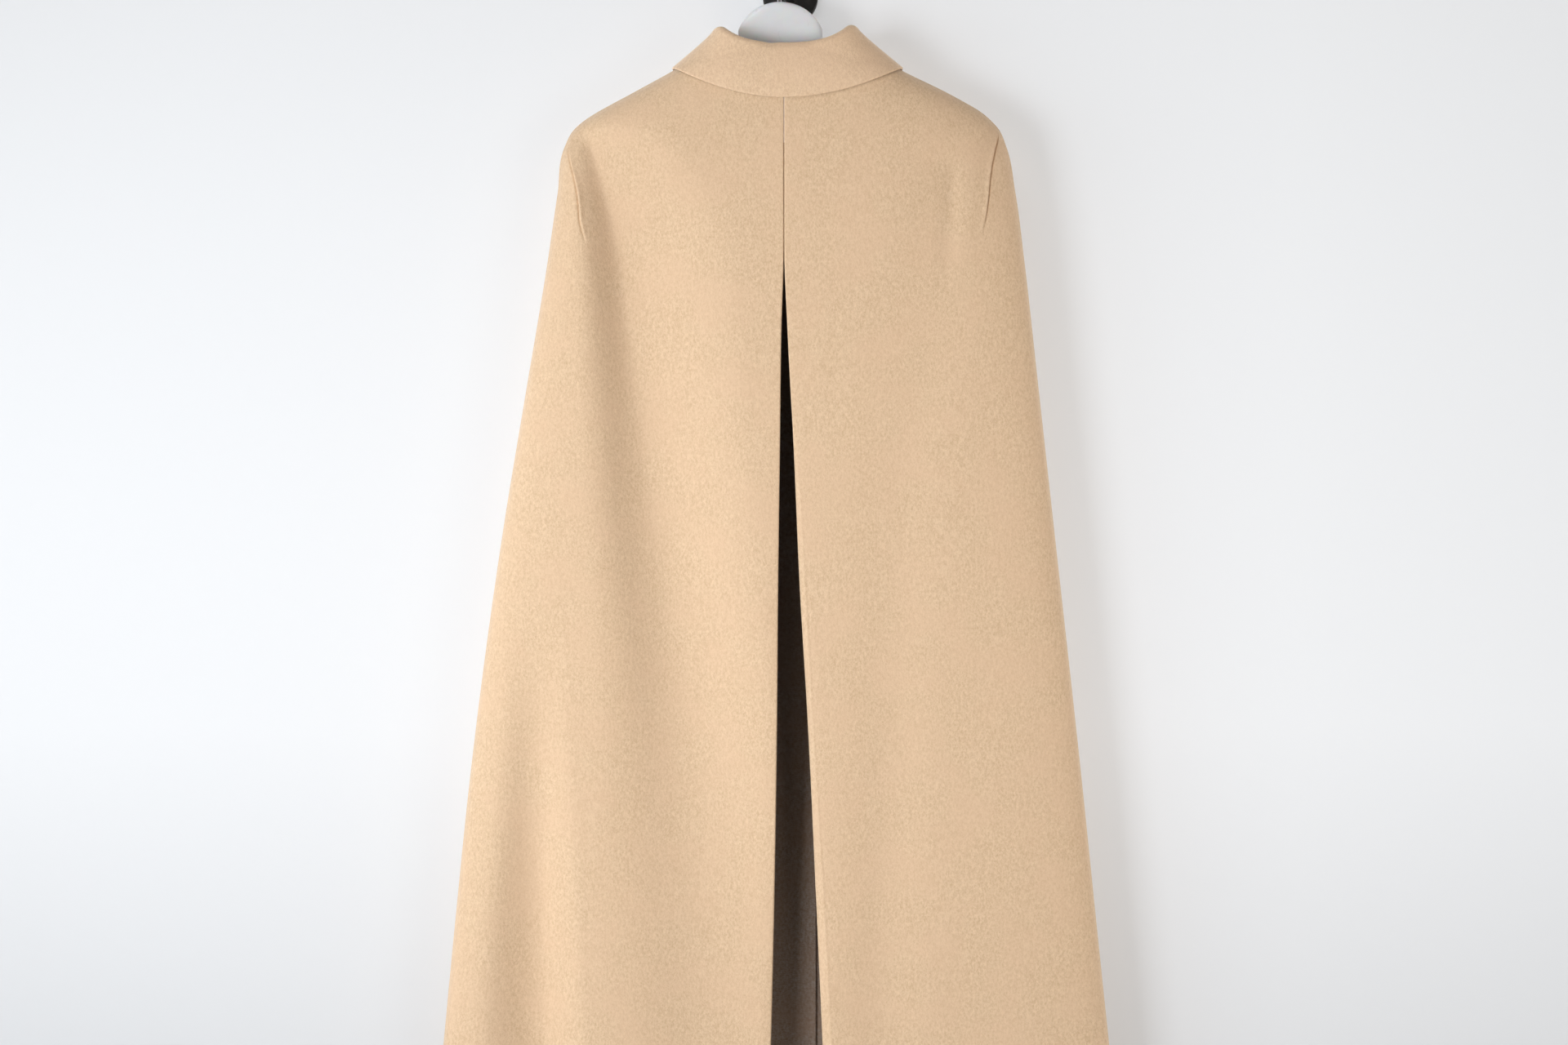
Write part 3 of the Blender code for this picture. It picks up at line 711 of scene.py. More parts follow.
POLISHED_HORN = Finish(
    "button_horn",
    tones=((0.09, 0.04, 0.02), (0.42, 0.23, 0.10)),
    clouds=(120.0, 4.0, 0.6, (0.25, 1.0, 1.0), 1.2),
    tone_range=(0.36, 0.64),
    gloss=(0.22, 0.36),
    relief=(0.1, 0.0003),
    sockets={"Coat_Weight": 0.4, "Coat_Roughness": 0.12},
)
SEWING_THREAD = Finish(
    "button_thread",
    tones=((0.40, 0.27, 0.16), (0.62, 0.44, 0.27)),
    clouds=(2600.0, 2.0, 0.6, (1.0, 1.0, 0.5), 0.5),
    tone_range=(0.35, 0.65),
    gloss=(0.6, 0.8),
    relief=(0.5, 0.0002),
    sockets={"Sheen_Weight": 0.2},
)


@dataclass(frozen=True)
class StageFinish:
    """Matt paint of the studio, seen from its front only if it is one-sided.

    Its painted glow is painted light that no lamp gives: it grows from the floor up, and then
    towards the right, and lifts the shadows on the wall.
    """

    name: str
    base: Triple
    painted_glow: Triple = (0.0, 0.0, 0.0)
    one_sided: bool = False

    def make(self) -> Material:
        """Make the material."""
        paint = Paint(self.name)
        dim = tuple(0.985 * part for part in self.base)
        axes = paint.node("SeparateXYZ", {0: paint.place}).outputs
        low, high, right = self.painted_glow
        # Painted light: the wall's emission grows from the floor up and towards the right.
        rising = paint.spread(axes["Z"], -1.08, -0.72, (low, high))
        aside = paint.spread(axes["X"], 0.05, 0.5, (0.0, right))
        paint.set(
            Base_Color=paint.blend(paint.noise(1.5, 3.0), self.base, dim),
            Roughness=0.9,
            Specular_IOR_Level=0.1,
            Emission_Color=(0.97, 0.985, 1.0),
            Emission_Strength=paint.sum(rising, aside),
        )
        if self.one_sided:
            away = paint.node("NewGeometry").outputs["Backfacing"]
            clear = paint.node("BsdfTransparent").outputs[0]
            mix = paint.node("MixShader", {0: away, 1: paint.shader.outputs[0], 2: clear})
            out = paint.tree.nodes["Material Output"]
            paint.feed(out.inputs["Surface"], mix.outputs[0])
        return paint.material


def stand(name: str, data: bpy.types.ID) -> Piece:
    """Put new data into the scene.

    Args:
        name: the object's name.
        data: its mesh, light or camera.

    Returns:
        The object.
    """
    made = bpy.data.objects.new(name, data)
    bpy.context.scene.collection.objects.link(made)
    return made


def mesh_piece(
    name: str,
    points: Array,
    faces: Sequence[Face],
    materials: Sequence[Material],
    second: Optional[Array] = None,
    sharp: float = 60.0,
) -> Piece:
    """Make a smooth-shaded mesh object.

    Args:
        name: the piece's name.
        points: its points in millimetres.
        faces: its faces.
        materials: one or two materials.
        second: for each face, whether it takes the second material.
        sharp: the angle in degrees past which an edge stays sharp.

    Returns:
        The object.
    """
    mesh = bpy.data.meshes.new(name)
    mesh.from_pydata((np.asarray(points).reshape(-1, 3) * MM).tolist(), [], faces)
    for material in materials:
        mesh.materials.append(material)
    if second is not None:
        mesh.polygons.foreach_set("material_index", second.astype(np.int32))
    mesh.shade_smooth()
    mesh.set_sharp_from_angle(angle=math.radians(sharp))
    return stand(name, mesh)


def quads(a: Array, b: Array, on: int) -> list[Face]:
    """Four-sided faces on pairs of points and the pairs a fixed number further on."""
    return list(map(tuple, np.stack([a, b, b + on, a + on], axis=-1).reshape(-1, 4).tolist()))


def ring_faces(count: int, around: int, first: int = 0) -> list[Face]:
    """Four-sided faces between closed rings of points.

    Args:
        count: how many rings.
        around: points in a ring.
        first: index of the first point.

    Returns:
        The faces.
    """
    ring, step = np.mgrid[0 : count - 1, 0:around]
    start = first + ring * around
    return quads(start + step, start + (step + 1) % around, around)


def full_turn(count: int) -> Array:
    """Angles spread evenly over a circle."""
    return np.linspace(0.0, 2 * np.pi, count, endpoint=False)


def cloth_shell(
    name: str, outer: Array, inner: Array, wools: Sequence[Material], flip: bool = False
) -> Piece:
    """Make a closed shell of cloth between two grids of points.

    Args:
        name: the piece's name.
        outer: the grid of its outer face.
        inner: the grid of its inner face.
        wools: materials of the outer and the inner face.
        flip: turns every face over.

    Returns:
        The object.
    """
    rows, columns = outer.shape[:2]
    count = rows * columns
    index = np.arange(count).reshape(rows, columns)
    start = index[:-1, :-1]
    border = np.array([*index[0], *index[1:, -1], *index[-1, -2::-1], *index[-2:0:-1, 0]])
    faces = [face[::-1] for face in quads(start, start + 1, columns)]
    faces += quads(start + count, start + count + 1, columns)
    faces += quads(border, np.roll(border, -1), count)
    if flip:
        faces = [face[::-1] for face in faces]
    second = np.zeros(len(faces), dtype=bool)
    second[start.size : 2 * start.size] = True
    points = np.concatenate([outer.reshape(-1, 3), inner.reshape(-1, 3)])
    return mesh_piece(name, points, faces, wools, second, sharp=89.0)


def half_thickness(thickness: float, off_edge: Array, lip: float) -> Array:
    """Half the thickness of cloth whose edge is rounded off.

    Args:
        thickness: the cloth's thickness.
        off_edge: distances from its edge.
        lip: how far the rounding goes.

    Returns:
        The half thickness at each distance.
    """
    bare = 1.0 - np.clip(off_edge / lip, 0.0, 1.0)
    return 0.5 * thickness * np.maximum(np.sqrt(1.0 - bare**2), THINNEST)[..., None]


def ringed_body(name: str, rings: Array, material: Material, sharp: float = 40.0) -> Piece:
    """Make a closed body through rings of equal count, each end closed by a fan.

    Args:
        name: the piece's name.
        rings: the rings' points.
        material: its material.
        sharp: the angle in degrees past which an edge stays sharp.

    Returns:
        The object.
    """
    count, around = rings.shape[:2]
    faces = ring_faces(count, around)
    last, end = (count - 1) * around, count * around
    for step in range(around):
        after = (step + 1) % around
        faces += [(after, step, end), (last + step, last + after, end + 1)]
    points = np.concatenate([rings.reshape(-1, 3), rings[[0, -1]].mean(axis=1)])
    return mesh_piece(name, points, faces, [material], sharp=sharp)


def tube(path: Array, radius: float, around: int) -> Array:
    """Rings of a round tube along a path.

    Args:
        path: points along its middle.
        radius: its radius.
        around: points in a ring.

    Returns:
        The rings.
    """
    heading = unit(np.gradient(path, axis=0))
    aside = unit(np.cross(heading, np.array([0.0, 1.0, 0.001])))
    up = np.cross(heading, aside)
    turns = full_turn(around)[None, :, None]
    return path[:, None] + radius * (np.cos(turns) * aside[:, None] + np.sin(turns) * up[:, None])


def turned(profile: Sequence[tuple[float, float]], centre: Sequence[float], around: int) -> Array:
    """Rings of a body turned about Y.

    Args:
        profile: pairs of radius and place along Y.
        centre: a point on its axis.
        around: points in a ring.

    Returns:
        The rings.
    """
    turns = full_turn(around)
    rings = [
        np.stack([r * np.cos(turns), np.full_like(turns, along), r * np.sin(turns)], axis=1)
        for r, along in profile
    ]
    return np.array(rings) + np.asarray(centre, dtype=float)


def seat(piece: Piece, slot: Slot, *nodes: str) -> Piece:
    """Join a piece to the frame.

    Args:
        piece: the new piece.
        slot: the record's slot for its finish; not used.
        *nodes: the CAD nodes that it stands for.

    Returns:
        The piece.
    """
    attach(piece, BODY)
    if nodes:
        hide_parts(*nodes)
    LOG.info("%s: %d faces", piece.name, len(piece.data.polygons))
    return piece


@dataclass(frozen=True)
class Column:
    """A column of a panel's grid, between two of the panel's lines."""

    share: float
    first_line: int = 0
    first_offset: float = 0.0
    second_line: int = 0
    second_offset: float = 0.0


@dataclass
class ClothPanel:
    """A cut piece of the cape's body, from the neck to the hem."""

    drape: Drape
    side: Side
    wools: Sequence[Material]
    flat: tuple[float, float]
    area: float
    name: str = ""
    node: str = ""
    thickness: float = 2.6
    seam_gap: float = 0.3
    lip: float = 1.3
    lip_steps: tuple[float, ...] = (0.0, 0.12, 0.4, 0.8, 1.3, 2.2)
    fell_steps: tuple[float, ...] = (3.0, 3.7, 4.3, 4.9, 5.6, 6.6, 8.0)
    shoulder_rows: int = 46
    lower_rows: int = 150
    shoulder_share: float = 0.09
    usual_top: float = 120.0
    line_room: float = 21.0
    lines: list[Line] = field(default_factory=list)

    def columns(self) -> list[Column]:
        """The columns of the grid, in order."""
        raise NotImplementedError

    def side_line(self, past: float) -> Line:
        """The line half a seam's gap past the side seam, or short of it.

        Args:
            past: 1 for past it, -1 for short of it.

        Returns:
            The line.
        """

        def line(drop: Array) -> Array:
            """Angle of the side edge."""
            gap = 0.5 * self.seam_gap / SECTIONS.read("front", drop)
            return self.side.sign * (self.drape.side_seam(drop) + past * gap)

        return line

    def spread_columns(self, line: int, count: int, margins: tuple[float, float]) -> list[Column]:
        """Columns spread between two neighbouring lines.

        Args:
            line: index of the first line.
            count: how many columns.
            margins: room left at each line, in millimetres.

        Returns:
            The columns.
        """
        shares = np.linspace(0.0, 1.0, count + 2)[1:-1]
        return [Column(float(t), line, margins[0], line + 1, -margins[1]) for t in shares]

    def lip_columns(self) -> tuple[list[Column], list[Column]]:
        """The columns at the first edge, and those at the last with its felled seam."""
        ends = reversed(self.lip_steps + self.fell_steps)
        last = len(self.lines) - 1
        return [Column(0.0, 0, step) for step in self.lip_steps], [
            Column(0.0, last, -step) for step in ends
        ]

    def off_line(self, columns: Sequence[Column], line: int) -> Array:
        """How far each column is off a line, or FAR if the line doesn't hold it."""
        held = [column.share == 0.0 and column.first_line == line for column in columns]
        return np.where(held, [column.first_offset for column in columns], FAR)

    def relief(self, across: Array, drop: Array, columns: Sequence[Column]) -> Array:
        """Height of the faint line where the seam is felled.

        Args:
            across: distances of the grid from the centre.
            drop: drops of the grid.
            columns: the columns of the grid.

        Returns:
            Heights above the drape's form.
        """
        seam = np.abs(self.off_line(columns, len(self.lines) - 1))
        return np.broadcast_to(sum(each.relief(seam) for each in FELLED_SEAM), drop.shape)

    def angles(self, columns: Sequence[Column], drop: Array) -> Array:
        """The angle of each column at its drops.

        Args:
            columns: the columns.
            drop: a grid of drops.

        Returns:
            A grid of angles.
        """
        at_line = np.stack([np.broadcast_to(line(drop), drop.shape) for line in self.lines])
        arc = np.stack([self.drape.arc(angle, drop) for angle in at_line])
        per_mm = np.sign(self.lines[-1](drop) - self.lines[0](drop)) / arc
        pick = np.arange(len(columns))
        share, first, first_off, second, second_off = map(np.array, zip(*map(astuple, columns)))
        room = np.abs(np.diff(at_line, axis=0)) * 0.5 * (arc[1:] + arc[:-1])
        squeeze = np.minimum(room / self.line_room, 1.0)
        strip = np.clip(np.where(first_off < 0, first - 1, first), 0, len(room) - 1)
        tight = squeeze[strip, :, pick].T
        start = at_line[first, :, pick].T + first_off * tight * per_mm[first, :, pick].T
        end = at_line[second, :, pick].T + second_off * tight * per_mm[second, :, pick].T
        return start + (end - start) * share

    def fall(self) -> Array:
        """The share of the way from the neck to the hem that each row is at."""
        hem = np.array(self.lip_steps) / (self.drape.hem_drop - self.usual_top)
        shoulder = np.linspace(0.0, self.shoulder_share, self.shoulder_rows, endpoint=False)
        lower = np.linspace(0.0, 1.0, self.lower_rows) ** 1.15
        lower = self.shoulder_share + (1.0 - self.shoulder_share - 1.6 * hem[-1]) * lower
        return np.concatenate([shoulder, lower, 1.0 - hem[::-1]])[:, None]

    def build(self) -> Piece:
        drape, columns = self.drape, self.columns()
        top = np.full((1, len(columns)), drape.neck_side_drop)
        for _ in range(16):  # the neck seam's drop settles well before that
            top = drape.neck_drop(self.angles(columns, top))
        drop = top + (drape.hem_drop - top) * self.fall()
        angle = self.angles(columns, drop)
        edges = [np.abs(self.off_line(columns, line)) for line in (0, len(self.lines) - 1)]
        off_edge = np.minimum(np.minimum(*edges)[None, :], drape.hem_drop - drop)
        half = half_thickness(self.thickness, off_edge, self.lip)
        points, out = drape.point(angle, drop), drape.outwards(angle, drop)
        relief = self.relief(points[..., 0] - drape.centre_x, drop, columns)
        middle = points + (relief - 0.5 * self.thickness)[..., None] * out
        first, last = (float(self.lines[i](np.array(500.0))) for i in (0, -1))
        shell = cloth_shell(
            self.name, middle + half * out, middle - half * out, self.wools, last < first
        )
        seat(shell, Slot.WOOL, self.node)
        return shell


@dataclass
class BackPanel(ClothPanel):
    """A back half: a vent edge, a shoulder dart and a side seam."""

    dart_steps: tuple[float, ...] = (
        *(-9, -6, -4, -2.6, -1.6, -0.9, -0.4),
        *(0, 0.35, 0.8, 1.5, 3, 6, 10),
    )
    near_columns: int = 17
    centre_columns: int = 56
    side_columns: int = 22
    near_reach: tuple[float, float] = (2.9, 16.0)
    dart_reach: float = math.radians(71.0)
    fade_above: float = 40.0
    fade_below: float = 300.0
    lean_above: float = 0.30
    lean_below: float = 0.12

    def __post_init__(self) -> None:
        """Name the panel and set its edge and dart lines."""
        self.name, self.node = f"back_{self.side.value}_cloth", f"back_{self.side.value}"
        sign, drape, dart = self.side.sign, self.drape, DARTS[self.side]

        def vent(drop: Array) -> Array:
            """Angle of the vent's edge."""
            edge = VENT_EDGES.read(self.side.value, drop)
            return np.arctan2(edge, SECTIONS.read(self.side.value, drop))

        def dart_line(drop: Array) -> Array:
            """Angle of the dart, carried on above and below it."""
            held = np.clip(drop, dart.top, dart.end)
            at_dart = drape.angle_at(dart.read("across", held), held)
            at_dart = at_dart / (1.0 + np.abs(at_dart / self.dart_reach) ** 16) ** (1.0 / 16)
            above = self.lean_above * soft_step((dart.top - drop) / self.fade_above)
            below = self.lean_below * soft_step((drop - dart.end) / self.fade_below)
            return at_dart - sign * (above * abs(at_dart) + below)

        self.lines = [vent, dart_line, self.side_line(-1.0)]

    def columns(self) -> list[Column]:
        """The columns of the grid, in order."""
        lips, ends = self.lip_columns()
        steps = np.linspace(*self.near_reach, self.near_columns)
        near = [Column(0.0, 0, float(step)) for step in steps]
        dart = [Column(0.0, 1, step) for step in self.dart_steps]
        margins = (self.near_reach[1], -self.dart_steps[0])
        centre = self.spread_columns(0, self.centre_columns, margins)
        side = self.spread_columns(1, self.side_columns, (self.dart_steps[-1], 8.0))
        return lips + near + centre + dart + side + ends

    def relief(self, across: Array, drop: Array, columns: Sequence[Column]) -> Array:
        """Height of the felled seam and the dart, and on the right of the strip's crease.

        Args:
            across: distances of the grid from the centre.
            drop: drops of the grid.
            columns: the columns of the grid.

        Returns:
            Heights above the drape's form.
        """
        off_line, dart = self.off_line(columns, 1), DARTS[self.side]
        held = np.clip(drop, dart.top, dart.end)
        height = np.where(drop == held, np.maximum(dart.read("height", held), 0.0), 0.0)
        stitched = height * sum(each.relief(off_line) for each in DART_SEAM)
        relief = super().relief(across, drop, columns) + stitched
        if self.side is Side.RIGHT:
            relief = relief + self.drape.strip_crease(across, drop)
        return relief


@dataclass
class FrontPanel(ClothPanel):
    """A front half, which passes the centre to lap the other one."""

    overlap: float = 32.0
    underlap_step: float = 18.0
    underlap_margin: float = 20.0
    underlap_air: float = 0.75
    inner_columns: int = 84

    def __post_init__(self) -> None:
        """Name the panel and set its two edges."""
        self.name, self.node = f"front_{self.side.value}_cloth", f"front_{self.side.value}"

        def centre(drop: Array) -> Array:
            """Angle of the lapping edge."""
            past = np.arctan2(self.overlap, SECTIONS.read(self.side.other.value, drop))
            return self.side.sign * (np.pi + past)

        self.lines = [centre, self.side_line(1.0)]

    def columns(self) -> list[Column]:
        """The columns of the grid, in order."""
        lips, ends = self.lip_columns()
        return lips + self.spread_columns(0, self.inner_columns, (2.2, 8.0)) + ends

    def relief(self, across: Array, drop: Array, columns: Sequence[Column]) -> Array:
        """Height of the felled seam, lower where the left front lies under the right one.

        Args:
            across: distances of the grid from the centre.
            drop: drops of the grid.
            columns: the columns of the grid.

        Returns:
            Heights above the drape's form.
        """
        relief = super().relief(across, drop, columns)
        if self.side is Side.LEFT:
            start = -self.overlap - self.underlap_margin - self.underlap_step
            under = soft_step((across - start) / self.underlap_step)
            relief = relief - (self.thickness + self.underlap_air) * under
        return relief


@dataclass
class Collar:
    """The turned-down collar: a stand inside, a crest and a fall over the cape."""

    drape: Drape
    wools: Sequence[Material]
    thickness: float = 2.8
    panel_thickness: float = 2.6
    seam_gap: float = 1.0
    stand_back: float = 34.5
    stand_side: tuple[float, float] = (18.5, 21.5)  # left, right
    stand_front: float = 22.5
    lean_back: float = math.radians(9)
    lean_side: float = math.radians(23)
    lean_front: float = math.radians(6)
    crest_radius: float = 4.8
    fall_back_drop: float = 112.4
    fall_side: tuple[float, float] = (107.0, 114.0)  # left, right
    point_x: float = 54.0
    point_drop: float = 186.0
    point_curve: float = 2.5
    lift: float = 0.8
    bulge: float = 1.6
    end_angle: float = math.radians(178.0)
    lip: float = 1.4
    columns: int = 210
    stand_rows: int = 8
    bend_rows: int = 14
    fall_rows: int = 24
    dimple_across: float = -13.5
    dimple_drop: float = 61.5
    dimple_depth: float = 1.1

    def angles(self) -> Array:
        """Angles of the collar's columns, close together at its two ends."""
        ends = np.array([0.0, 0.0006, 0.002, 0.0042, 0.007, 0.0115])
        inner = np.linspace(-self.end_angle + 0.018, self.end_angle - 0.018, self.columns)
        return np.concatenate([-self.end_angle + ends, inner, self.end_angle - ends[::-1]])

    def key_lines(self, angle: Array) -> dict[str, Array]:
        """The lines that the collar's cross-sections hang on.

        Args:
            angle: angles of the columns.

        Returns:
            The base, crest and edge lines, and the directions up the stand and over the crest.
        """
        drape = self.drape
        seam_drop = drape.neck_drop(angle)
        out = drape.outwards(angle, seam_drop)
        base = drape.point(angle, seam_drop) - 0.5 * self.panel_thickness * out
        off_panels = unit(np.cross(out, np.gradient(base, angle, axis=0)))
        plan = (base - [drape.centre_x, drape.middle_y, 0.0]) * [1.0, 1.0, 0.0]
        half = [SECTIONS.read(name, drape.neck_side_drop) for name in ("right", "back")]
        turn = np.arctan2(plan[:, 0] / half[0], -plan[:, 1] / half[1])
        sideways, behind = np.abs(np.sin(turn)), np.cos(turn) >= 0
        lengthways = 1.0 - sideways**2

        def between(back: float, side: Array | float, front: float) -> Array:
            """Values round the neck from those at its back, sides and front."""
            return side + (np.where(behind, back, front) - side) * lengthways

        def by_side(values: Sequence[float]) -> Array:
            """The value of the half that each column is in."""
            return np.where(angle < 0, *values)

        lean = between(self.lean_back, self.lean_side, self.lean_front)[:, None]
        rise = np.cos(lean) * np.array([0.0, 0.0, 1.0]) - np.sin(lean) * unit(plan)
        front_rise = np.cos(self.lean_front) * off_panels - np.sin(self.lean_front) * out
        rise = unit(rise + (front_rise - rise) * np.where(behind, 0.0, lengthways)[:, None])
        base = base + off_panels * self.seam_gap
        stand = between(self.stand_back, by_side(self.stand_side), self.stand_front)
        crest = base + rise * stand[:, None]
        along = unit(np.gradient(crest, angle, axis=0))
        rise = unit(rise - along * np.sum(rise * along, axis=1, keepdims=True))
        over = np.cross(along, rise)

        side_x = by_side(self.fall_side)
        side_drop = by_side(
            [drape.ridge_drop(side.sign * x) for side, x in zip(Side, self.fall_side)]
        )
        to_point = 1.0 - sideways**self.point_curve
        across = np.sign(angle) * np.where(
            behind, side_x * sideways, side_x + (self.point_x - side_x) * to_point
        )
        drop = side_drop + np.where(
            behind,
            (self.fall_back_drop - side_drop) * lengthways,
            (self.point_drop - side_drop) * to_point,
        )
        at_edge = drape.angle_at(across, drop, ~behind)
        clear = 0.5 * self.thickness + self.lift
        edge = drape.point(at_edge, drop) + clear * drape.outwards(at_edge, drop)
        return {"base": base, "crest": crest, "edge": edge, "rise": rise, "over": over}

    def middle(self, lines: dict[str, Array]) -> Array:
        """The collar's middle surface, from the neck seam to the fall's edge.

        Args:
            lines: what key_lines gives.

        Returns:
            A grid of points.
        """
        rise, over = lines["rise"], lines["over"]
        centre = lines["crest"] - rise * self.crest_radius
        bend = [
            centre + self.crest_radius * (math.sin(bent) * over + math.cos(bent) * rise)
            for bent in np.linspace(-0.5, 0.5, self.bend_rows + 1) * np.pi
        ]
        shares = np.linspace(0.0, 1.0, self.stand_rows, endpoint=False)
        stand = [lines["base"] + (bend[0] - lines["base"]) * share for share in shares]
        reach = lines["edge"] - bend[-1]
        even = np.linspace(0.0, 1.0, self.fall_rows + 1)[1:-1] * 0.965
        lip = 1.0 - np.array([2.2, 1.4, 0.85, 0.42, 0.12, 0.0]) / 60.0
        fall = [bend[-1] + reach * share for share in np.concatenate([even, lip])]
        grid = np.stack([*stand, *bend, *fall])
        first = self.stand_rows + self.bend_rows
        share = np.concatenate([[0.0], even, lip])[:, None]
        wanted = 0.5 * self.thickness + self.lift + self.bulge * np.sin(np.pi * share)
        height, out = self.drape.clearance(grid[first:])
        grid[first:] += np.clip(wanted - height, 0.0, None)[..., None] * out
        return grid

    def build(self) -> Piece:
        angle = self.angles()
        grid = self.middle(self.key_lines(angle))
        out = unit(np.cross(np.gradient(grid, axis=0), np.gradient(grid, axis=1)))
        across = grid[..., 0] - self.drape.centre_x - self.dimple_across
        down = -grid[..., 2] - self.dimple_drop
        behind = grid[..., 1] < self.drape.middle_y - 30.0
        past_crest = np.arange(len(grid))[:, None] >= self.stand_rows + self.bend_rows // 2
        dent = self.dimple_depth * bell(across, 6.5) * bell(down, 4.0) * (behind & past_crest)
        grid = grid - dent[..., None] * out
        to_end = np.full(len(angle), FAR)
        ends = np.array([0.0, 0.12, 0.4, 0.85, 1.4, 2.2])
        to_end[: len(ends)], to_end[-len(ends) :] = ends, ends[::-1]
        to_edge = np.full(len(grid), FAR)
        to_edge[-len(ends) :] = ends[::-1]
        off_edge = np.minimum(to_edge[:, None], to_end[None, :])
        half = half_thickness(self.thickness, off_edge, self.lip)
        shell = cloth_shell("collar_cloth", grid + half * out, grid - half * out, self.wools)
        seat(shell, Slot.WOOL, "collar")
        return shell


@dataclass
class Hanger:
    """A flat disc at the neck between two rounded arms."""

    drape: Drape
    dome_x: float = -10.0
    dome_top_drop: float = 13.7
    dome_radius: float = 44.4
    dome_half_turn: float = math.radians(68.0)
    dome_half_depth: float = 6.0
    arm_half_depth: float = 15.0
    arm_height: float = 26.0
    arm_end_margin: float = 34.0
    cloth_and_air: float = 3.3
    shoulder_end_drop: float = 155.0
    round_start: float = 0.9
    round_span: float = 0.1005
    around: int = 56
    dome_rings: int = 97
    arm_rings: int = 60

    def arm_top(self, across: float) -> float:
        """Where an arm's top is, just under the cloth of the shoulder.

        Args:
            across: distance from the cape's centre.

        Returns:
            The drop.
        """
        step, ridge = 4.0, self.drape.ridge_drop
        rise = (ridge(across + step) - ridge(across - step)) / (2 * step)
        return ridge(across) + self.cloth_and_air * math.hypot(1.0, rise)

    def ring(self, across: float, arm_end: float) -> Array:
        """One upright ring.

        Args:
            across: its distance from the cape's centre.
            arm_end: length of the arm it is on.

        Returns:
            The ring's points.
        """
        dome_edge = self.dome_radius * math.sin(self.dome_half_turn)
        from_dome = across + self.drape.centre_x - self.dome_x
        top = self.arm_top(math.copysign(max(abs(across), dome_edge), across))
        bottom = top + self.arm_height
        in_dome = abs(from_dome) < dome_edge
        if in_dome:
            top = self.dome_top_drop + self.dome_radius
            top -= math.sqrt(self.dome_radius**2 - from_dome**2)
        outness = min(abs(across) / arm_end, 1.0)
        rounded = max(outness - self.round_start, 0.0) / self.round_span
        full = math.sqrt(1.0 - rounded**2)
        half_height = 0.5 * (bottom - top) * full
        middle = top + half_height if rounded > 0 else 0.5 * (top + bottom)
        deeper = (self.arm_half_depth - self.dome_half_depth) * float(soft_step(np.array(outness)))
        half_depth = full * (self.dome_half_depth + deeper)
        flatness = 0.42 + 0.58 * float(soft_step(np.array((abs(from_dome) - 34.0) / 16.0)))
        turns = full_turn(self.around)
        swell = np.sign(np.cos(turns)) * np.abs(np.cos(turns)) ** flatness
        y = self.drape.middle_y + half_depth * swell
        z = half_height * np.sin(turns) - middle
        return np.stack([np.full_like(turns, self.drape.centre_x + across), y, z], axis=1)

    def build(self) -> Piece:
        """Build the hanger."""
        turns = np.linspace(-self.dome_half_turn, self.dome_half_turn, self.dome_rings)
        dome = self.dome_x - self.drape.centre_x + self.dome_radius * np.sin(turns)
        end_drop = np.array(self.shoulder_end_drop)
        left_end = -float(SECTIONS.read("left", end_drop)) + self.arm_end_margin
        right_end = float(SECTIONS.read("right", end_drop)) - self.arm_end_margin
        left_arm = np.linspace(left_end, dome[0], self.arm_rings, endpoint=False)
        right_arm = np.linspace(dome[-1], right_end, self.arm_rings + 1)[1:]
        rings = [
            self.ring(float(across), -left_end if across < 0 else right_end)
            for across in np.concatenate([left_arm, dome, right_arm])
        ]
        body = ringed_body("hanger_body", np.array(rings), WHITE_PLASTIC.make())
        return seat(body, Slot.PLASTIC, "hanger")


@dataclass
class HangerWire:
    """The wire that rises from the disc and bends over the peg."""

    middle_y: float = -58.0
    shank_x: float = -10.8
    wire_radius: float = 2.0
    dome_top_drop: float = 13.7
    insert: float = 12.0
    peg_radius: float = 6.0
    air: float = 0.3
    tip_length: float = 5.0

    def build(self) -> Piece:
        """Build the wire."""
        bend = -self.shank_x
        centre_z = self.peg_radius + self.air - (bend - self.wire_radius)
        low = -self.dome_top_drop - self.insert
        path = [(self.shank_x, z) for z in np.linspace(low, centre_z, 12, endpoint=False)]
        for turn in np.linspace(math.pi, 0.0, 49):
            path.append((bend * math.cos(turn), centre_z + bend * math.sin(turn)))
        for turn in np.radians(np.linspace(8.0, 50.0, 8)):
            reach = self.tip_length
            path.append((bend + reach * (1.0 - math.cos(turn)), centre_z - reach * math.sin(turn)))
        points = np.array([(x, self.middle_y, z) for x, z in path])
        rings = tube(points, self.wire_radius, 28)
        tip = unit(points[-1] - points[-2])
        caps = []
        for turn in np.radians((30.0, 60.0, 80.0)):
            ring = points[-1] + (rings[-1] - points[-1]) * math.cos(turn)
            caps.append(ring + tip * self.wire_radius * math.sin(turn) * 0.6)
        rings = np.concatenate([rings, np.array(caps)])
        piece = ringed_body("hanger_wire", rings, PLATED_WIRE.make())
        return seat(piece, Slot.WIRE, "hanger_hook")


